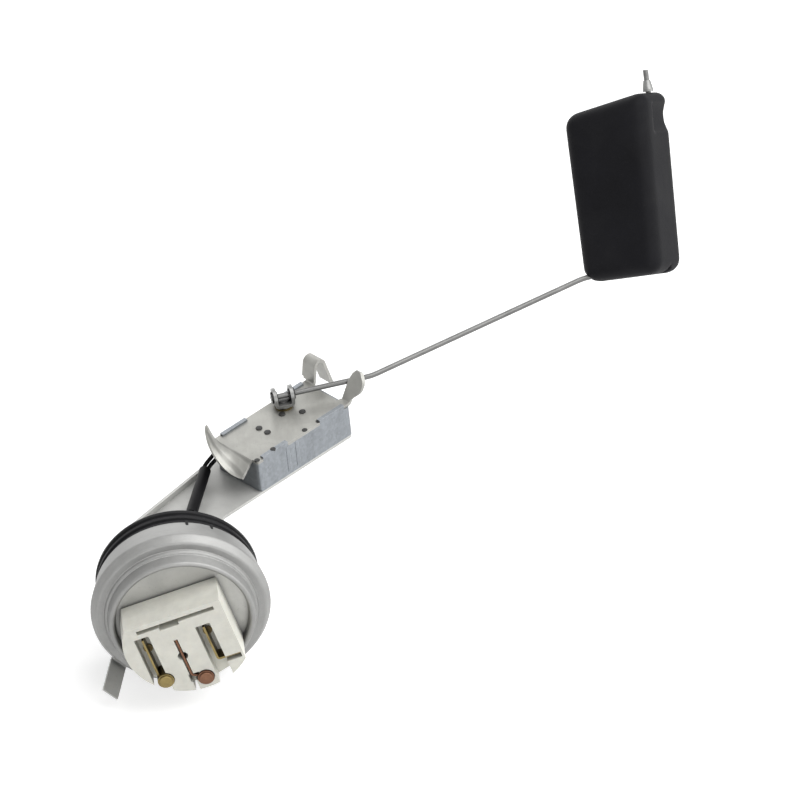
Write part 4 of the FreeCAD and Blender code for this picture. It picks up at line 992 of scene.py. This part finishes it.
class SENDER_OT_float_foam(bpy.types.Operator):
    """Models the float's foam with rolled edges, the scoop at its head and the wire's groove"""

    bl_idname = "sender.float_foam"
    bl_label = "Float foam"

    foot_width = 33.5
    head_width = 36.8
    thickness = 25.8
    left_height = 66.1
    right_height = 72.0
    edge_roll = 5.4
    scoop_radius = 8.0
    scoop_depth = 3.6
    scoop_height = 61.0
    scoop_start = 9.0
    scoop_overrun = 4.0
    bore = Vector((32.2, 15.6, 0.0))
    wire_entry = Vector((1.0, 3.0, 0.0))
    groove_depth = 3.5
    groove_half = 1.25
    groove_lead = 8.0
    groove_overrun = 4.0
    voxel = 0.55

    def execute(self, context):
        foam = self.add_wedge()
        self.cut(foam, self.scoop())
        self.cut(foam, self.groove())
        remesh = foam.modifiers.new("Even mesh", "REMESH")
        remesh.mode = "VOXEL"
        remesh.voxel_size = self.voxel * MILLIMETRE
        apply_modifier(foam, remesh)
        soften = foam.modifiers.new("Soft edges", "SMOOTH")
        soften.factor = 0.5
        soften.iterations = context.scene.sender_sizes.float_softness
        apply_modifier(foam, soften)
        place = (Matrix.Translation(FLOAT_CORNER)
                 @ Matrix((FLOAT_RIGHT, FLOAT_BACK, FLOAT_UP)).transposed().to_4x4())
        settle(foam, place, "foam", body="arm")
        bpy.ops.object.shade_smooth()
        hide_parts("float")
        return {"FINISHED"}

    def add_wedge(self):
        """The float's block, wider and taller at its head's right, with rolled edges."""
        foam = add_block("float_foam", (0.0, 0.0, 0.0),
                         (self.foot_width, self.thickness, self.left_height))
        wide = self.foot_width * MILLIMETRE / 2
        tall = self.left_height * MILLIMETRE / 2
        select_parts(foam, lambda corner: corner.co.x > wide and corner.co.z > tall, "verts")
        bpy.ops.transform.translate(value=(
            (self.head_width - self.foot_width) * MILLIMETRE, 0.0,
            (self.right_height - self.left_height) * MILLIMETRE))
        bpy.ops.mesh.select_all(action="SELECT")
        bpy.ops.mesh.bevel(offset=self.edge_roll * MILLIMETRE, segments=7, affect="EDGES")
        bpy.ops.object.mode_set(mode="OBJECT")
        return foam

    def scoop(self):
        """The tool for the scoop in the right face, clear of the front ridge."""
        start_clean()
        length = self.thickness - self.scoop_start + self.scoop_overrun
        bpy.ops.mesh.primitive_cylinder_add(
            vertices=64, radius=self.scoop_radius * MILLIMETRE, depth=length * MILLIMETRE,
            rotation=(math.radians(90.0), 0.0, 0.0),
            location=((self.head_width - self.scoop_depth + self.scoop_radius) * MILLIMETRE,
                      (self.scoop_start + length / 2) * MILLIMETRE,
                      self.scoop_height * MILLIMETRE))
        return bpy.context.object

    def groove(self):
        """The tool for the groove in which the wire crosses the foot."""
        run = self.bore - self.wire_entry
        tool = add_block("groove_tool",
                         (-self.groove_lead, -self.groove_half, -self.groove_overrun),
                         (run.length, self.groove_half, self.groove_depth))
        tool.matrix_world = (Matrix.Translation(self.wire_entry * MILLIMETRE)
                             @ Matrix.Rotation(math.atan2(run.y, run.x), 4, "Z"))
        return tool

    def cut(self, piece, tool):
        """Takes a tool's shape out of a piece and clears the tool away."""
        boolean = piece.modifiers.new("Cut", "BOOLEAN")
        boolean.operation = "DIFFERENCE"
        boolean.object = tool
        apply_modifier(piece, boolean)
        bpy.data.objects.remove(tool, do_unlink=True)


class SENDER_OT_stage(bpy.types.Operator):
    """Sets the pale floor, the soft lamps, the world and the camera"""

    bl_idname = "sender.stage"
    bl_label = "Stage"

    # Name, way from the sender, distance and width in metres, and share of the light power
    lamp_set = (("key_lamp", (1.0, -0.15, -0.55), 1.8, 2.1, 1.3),
                ("fill_lamp", (0.15, -1.0, -0.15), 1.8, 1.6, 0.42),
                ("side_lamp", (0.2, -0.1, -1.0), 1.8, 1.2, 0.40),
                ("back_lamp", (0.35, 1.0, 0.2), 1.8, 1.6, 0.28))
    sheet_tone = 0.74
    sheet_glow = 0.56
    sky_light = 0.34

    def execute(self, context):
        sizes = context.scene.sender_sizes
        low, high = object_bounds()
        middle = (low + high) / 2
        start_clean()
        bpy.ops.mesh.primitive_plane_add(
            size=2 * sizes.floor_reach, rotation=(0.0, math.radians(90.0), 0.0),
            location=(low.x - sizes.floor_drop, middle.y, middle.z))
        floor = context.object
        floor.name = "stage_floor"
        bpy.ops.object.mode_set(mode="EDIT")
        bpy.ops.mesh.subdivide(number_cuts=3)
        bpy.ops.object.mode_set(mode="OBJECT")
        keep_place_in_mesh(floor)
        floor.data.materials.append(self.floor_finish())
        floor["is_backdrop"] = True
        self.lamps(sizes.light_power, middle)
        self.sky(context.scene)
        self.camera(context.scene)
        return {"FINISHED"}

    def seen(self, tree):
        """One for rays that show a surface to the eye, zero for rays that only carry light."""
        ray = add_node(tree, "ShaderNodeLightPath")
        mirrored = math_node(tree, "MAXIMUM", ray.outputs["Is Glossy Ray"],
                             ray.outputs["Is Transmission Ray"])
        return math_node(tree, "MAXIMUM", ray.outputs["Is Camera Ray"], mirrored)

    def floor_finish(self):
        """Pale matt sheet, seen white, that keeps shadows and is clear from behind."""
        material = bpy.data.materials.new("Stage floor")
        material.use_nodes = True
        tree = material.node_tree
        tree.nodes.clear()
        sheet = add_node(tree, "ShaderNodeBsdfDiffuse",
                         {"Color": opaque((self.sheet_tone,) * 3)})
        glow = add_node(tree, "ShaderNodeEmission",
                        {"Color": opaque(WHITE), "Strength": self.sheet_glow})
        lit = add_node(tree, "ShaderNodeAddShader", {0: sheet.outputs[0], 1: glow.outputs[0]})
        front = add_node(tree, "ShaderNodeMixShader",
                         {0: self.seen(tree), 1: sheet.outputs[0], 2: lit.outputs[0]})
        clear = add_node(tree, "ShaderNodeBsdfTransparent")
        side = add_node(tree, "ShaderNodeNewGeometry")
        both = add_node(tree, "ShaderNodeMixShader",
                        {0: side.outputs["Backfacing"], 1: front.outputs[0],
                         2: clear.outputs[0]})
        add_node(tree, "ShaderNodeOutputMaterial", {"Surface": both.outputs[0]})
        return material

    def lamps(self, power, middle):
        """A wide key lamp above the sender and weaker ones in front, beside and behind."""
        for name, way, distance, width, share in self.lamp_set:
            data = bpy.data.lights.new(name, "AREA")
            data.shape = "DISK"
            data.size = width
            data.energy = power * share
            lamp = bpy.data.objects.new(name, data)
            bpy.context.scene.collection.objects.link(lamp)
            lamp.visible_camera = False
            direction = Vector(way).normalized()
            lamp.location = middle + direction * distance
            lamp.rotation_euler = (-direction).to_track_quat("-Z", "Y").to_euler()

    def sky(self, scene):
        """White where it is seen, softer where it lights the sender."""
        world = bpy.data.worlds.new("Studio")
        world.use_nodes = True
        tree = world.node_tree
        tree.nodes.clear()
        strength = add_node(tree, "ShaderNodeMapRange",
                            {"Value": self.seen(tree), "To Min": self.sky_light, "To Max": 1.0})
        white = add_node(tree, "ShaderNodeBackground",
                         {"Color": opaque(WHITE), "Strength": strength.outputs["Result"]})
        add_node(tree, "ShaderNodeOutputWorld", {"Surface": white.outputs[0]})
        scene.world = world
        scene.view_settings.view_transform = "Standard"

    def camera(self, scene):
        """A distant camera with a long lens, at the photograph's viewing angle."""
        data = bpy.data.cameras.new("photo_camera")
        data.lens = CAMERA_LENS
        data.sensor_width = SENSOR_WIDTH
        data.clip_start = 0.1
        data.clip_end = 20.0
        camera = bpy.data.objects.new("photo_camera", data)
        scene.collection.objects.link(camera)
        right = CAMERA_RIGHT.normalized()
        back = CAMERA_BACK.normalized()
        turn = Matrix((right, back.cross(right).normalized(), back)).transposed()
        camera.matrix_world = Matrix.Translation(-(turn @ CAMERA_OFFSET)) @ turn.to_4x4()
        scene.camera = camera


OPERATORS = (SENDER_OT_effects, SENDER_OT_finishes, SENDER_OT_plate_rivets,
             SENDER_OT_edge_clinches, SENDER_OT_cover_creases, SENDER_OT_gasket_lips,
             SENDER_OT_solder_joints, SENDER_OT_contact_rivets, SENDER_OT_wire_collars,
             SENDER_OT_spot_welds, SENDER_OT_float_foam, SENDER_OT_stage)


class SENDER_PT_panel(bpy.types.Panel):
    """The sender's pieces, sizes and colours"""

    bl_label = "Level sender"
    bl_idname = "SENDER_PT_panel"
    bl_space_type = "VIEW_3D"
    bl_region_type = "UI"
    bl_category = "Level sender"

    def draw(self, context):
        for operator in OPERATORS:
            self.layout.operator(operator.bl_idname)
        for group in (context.scene.sender_sizes, context.scene.sender_colours):
            box = self.layout.box()
            for name in type(group).__annotations__:
                box.prop(group, name)


CLASSES = (SenderColours, SenderSizes, *OPERATORS, SENDER_PT_panel)


def register():
    """Registers the sender's classes and its scene properties."""
    for entry in CLASSES:
        bpy.utils.register_class(entry)
    bpy.types.Scene.sender_colours = bpy.props.PointerProperty(type=SenderColours)
    bpy.types.Scene.sender_sizes = bpy.props.PointerProperty(type=SenderSizes)


def unregister():
    """Takes the sender's classes and scene properties away again."""
    del bpy.types.Scene.sender_sizes
    del bpy.types.Scene.sender_colours
    for entry in reversed(CLASSES):
        bpy.utils.unregister_class(entry)


def main():
    """Makes every piece in order."""
    register()
    for operator in OPERATORS:
        group, name = operator.bl_idname.split(".")
        getattr(getattr(bpy.ops, group), name)()


if __name__ == "__main__":
    main()
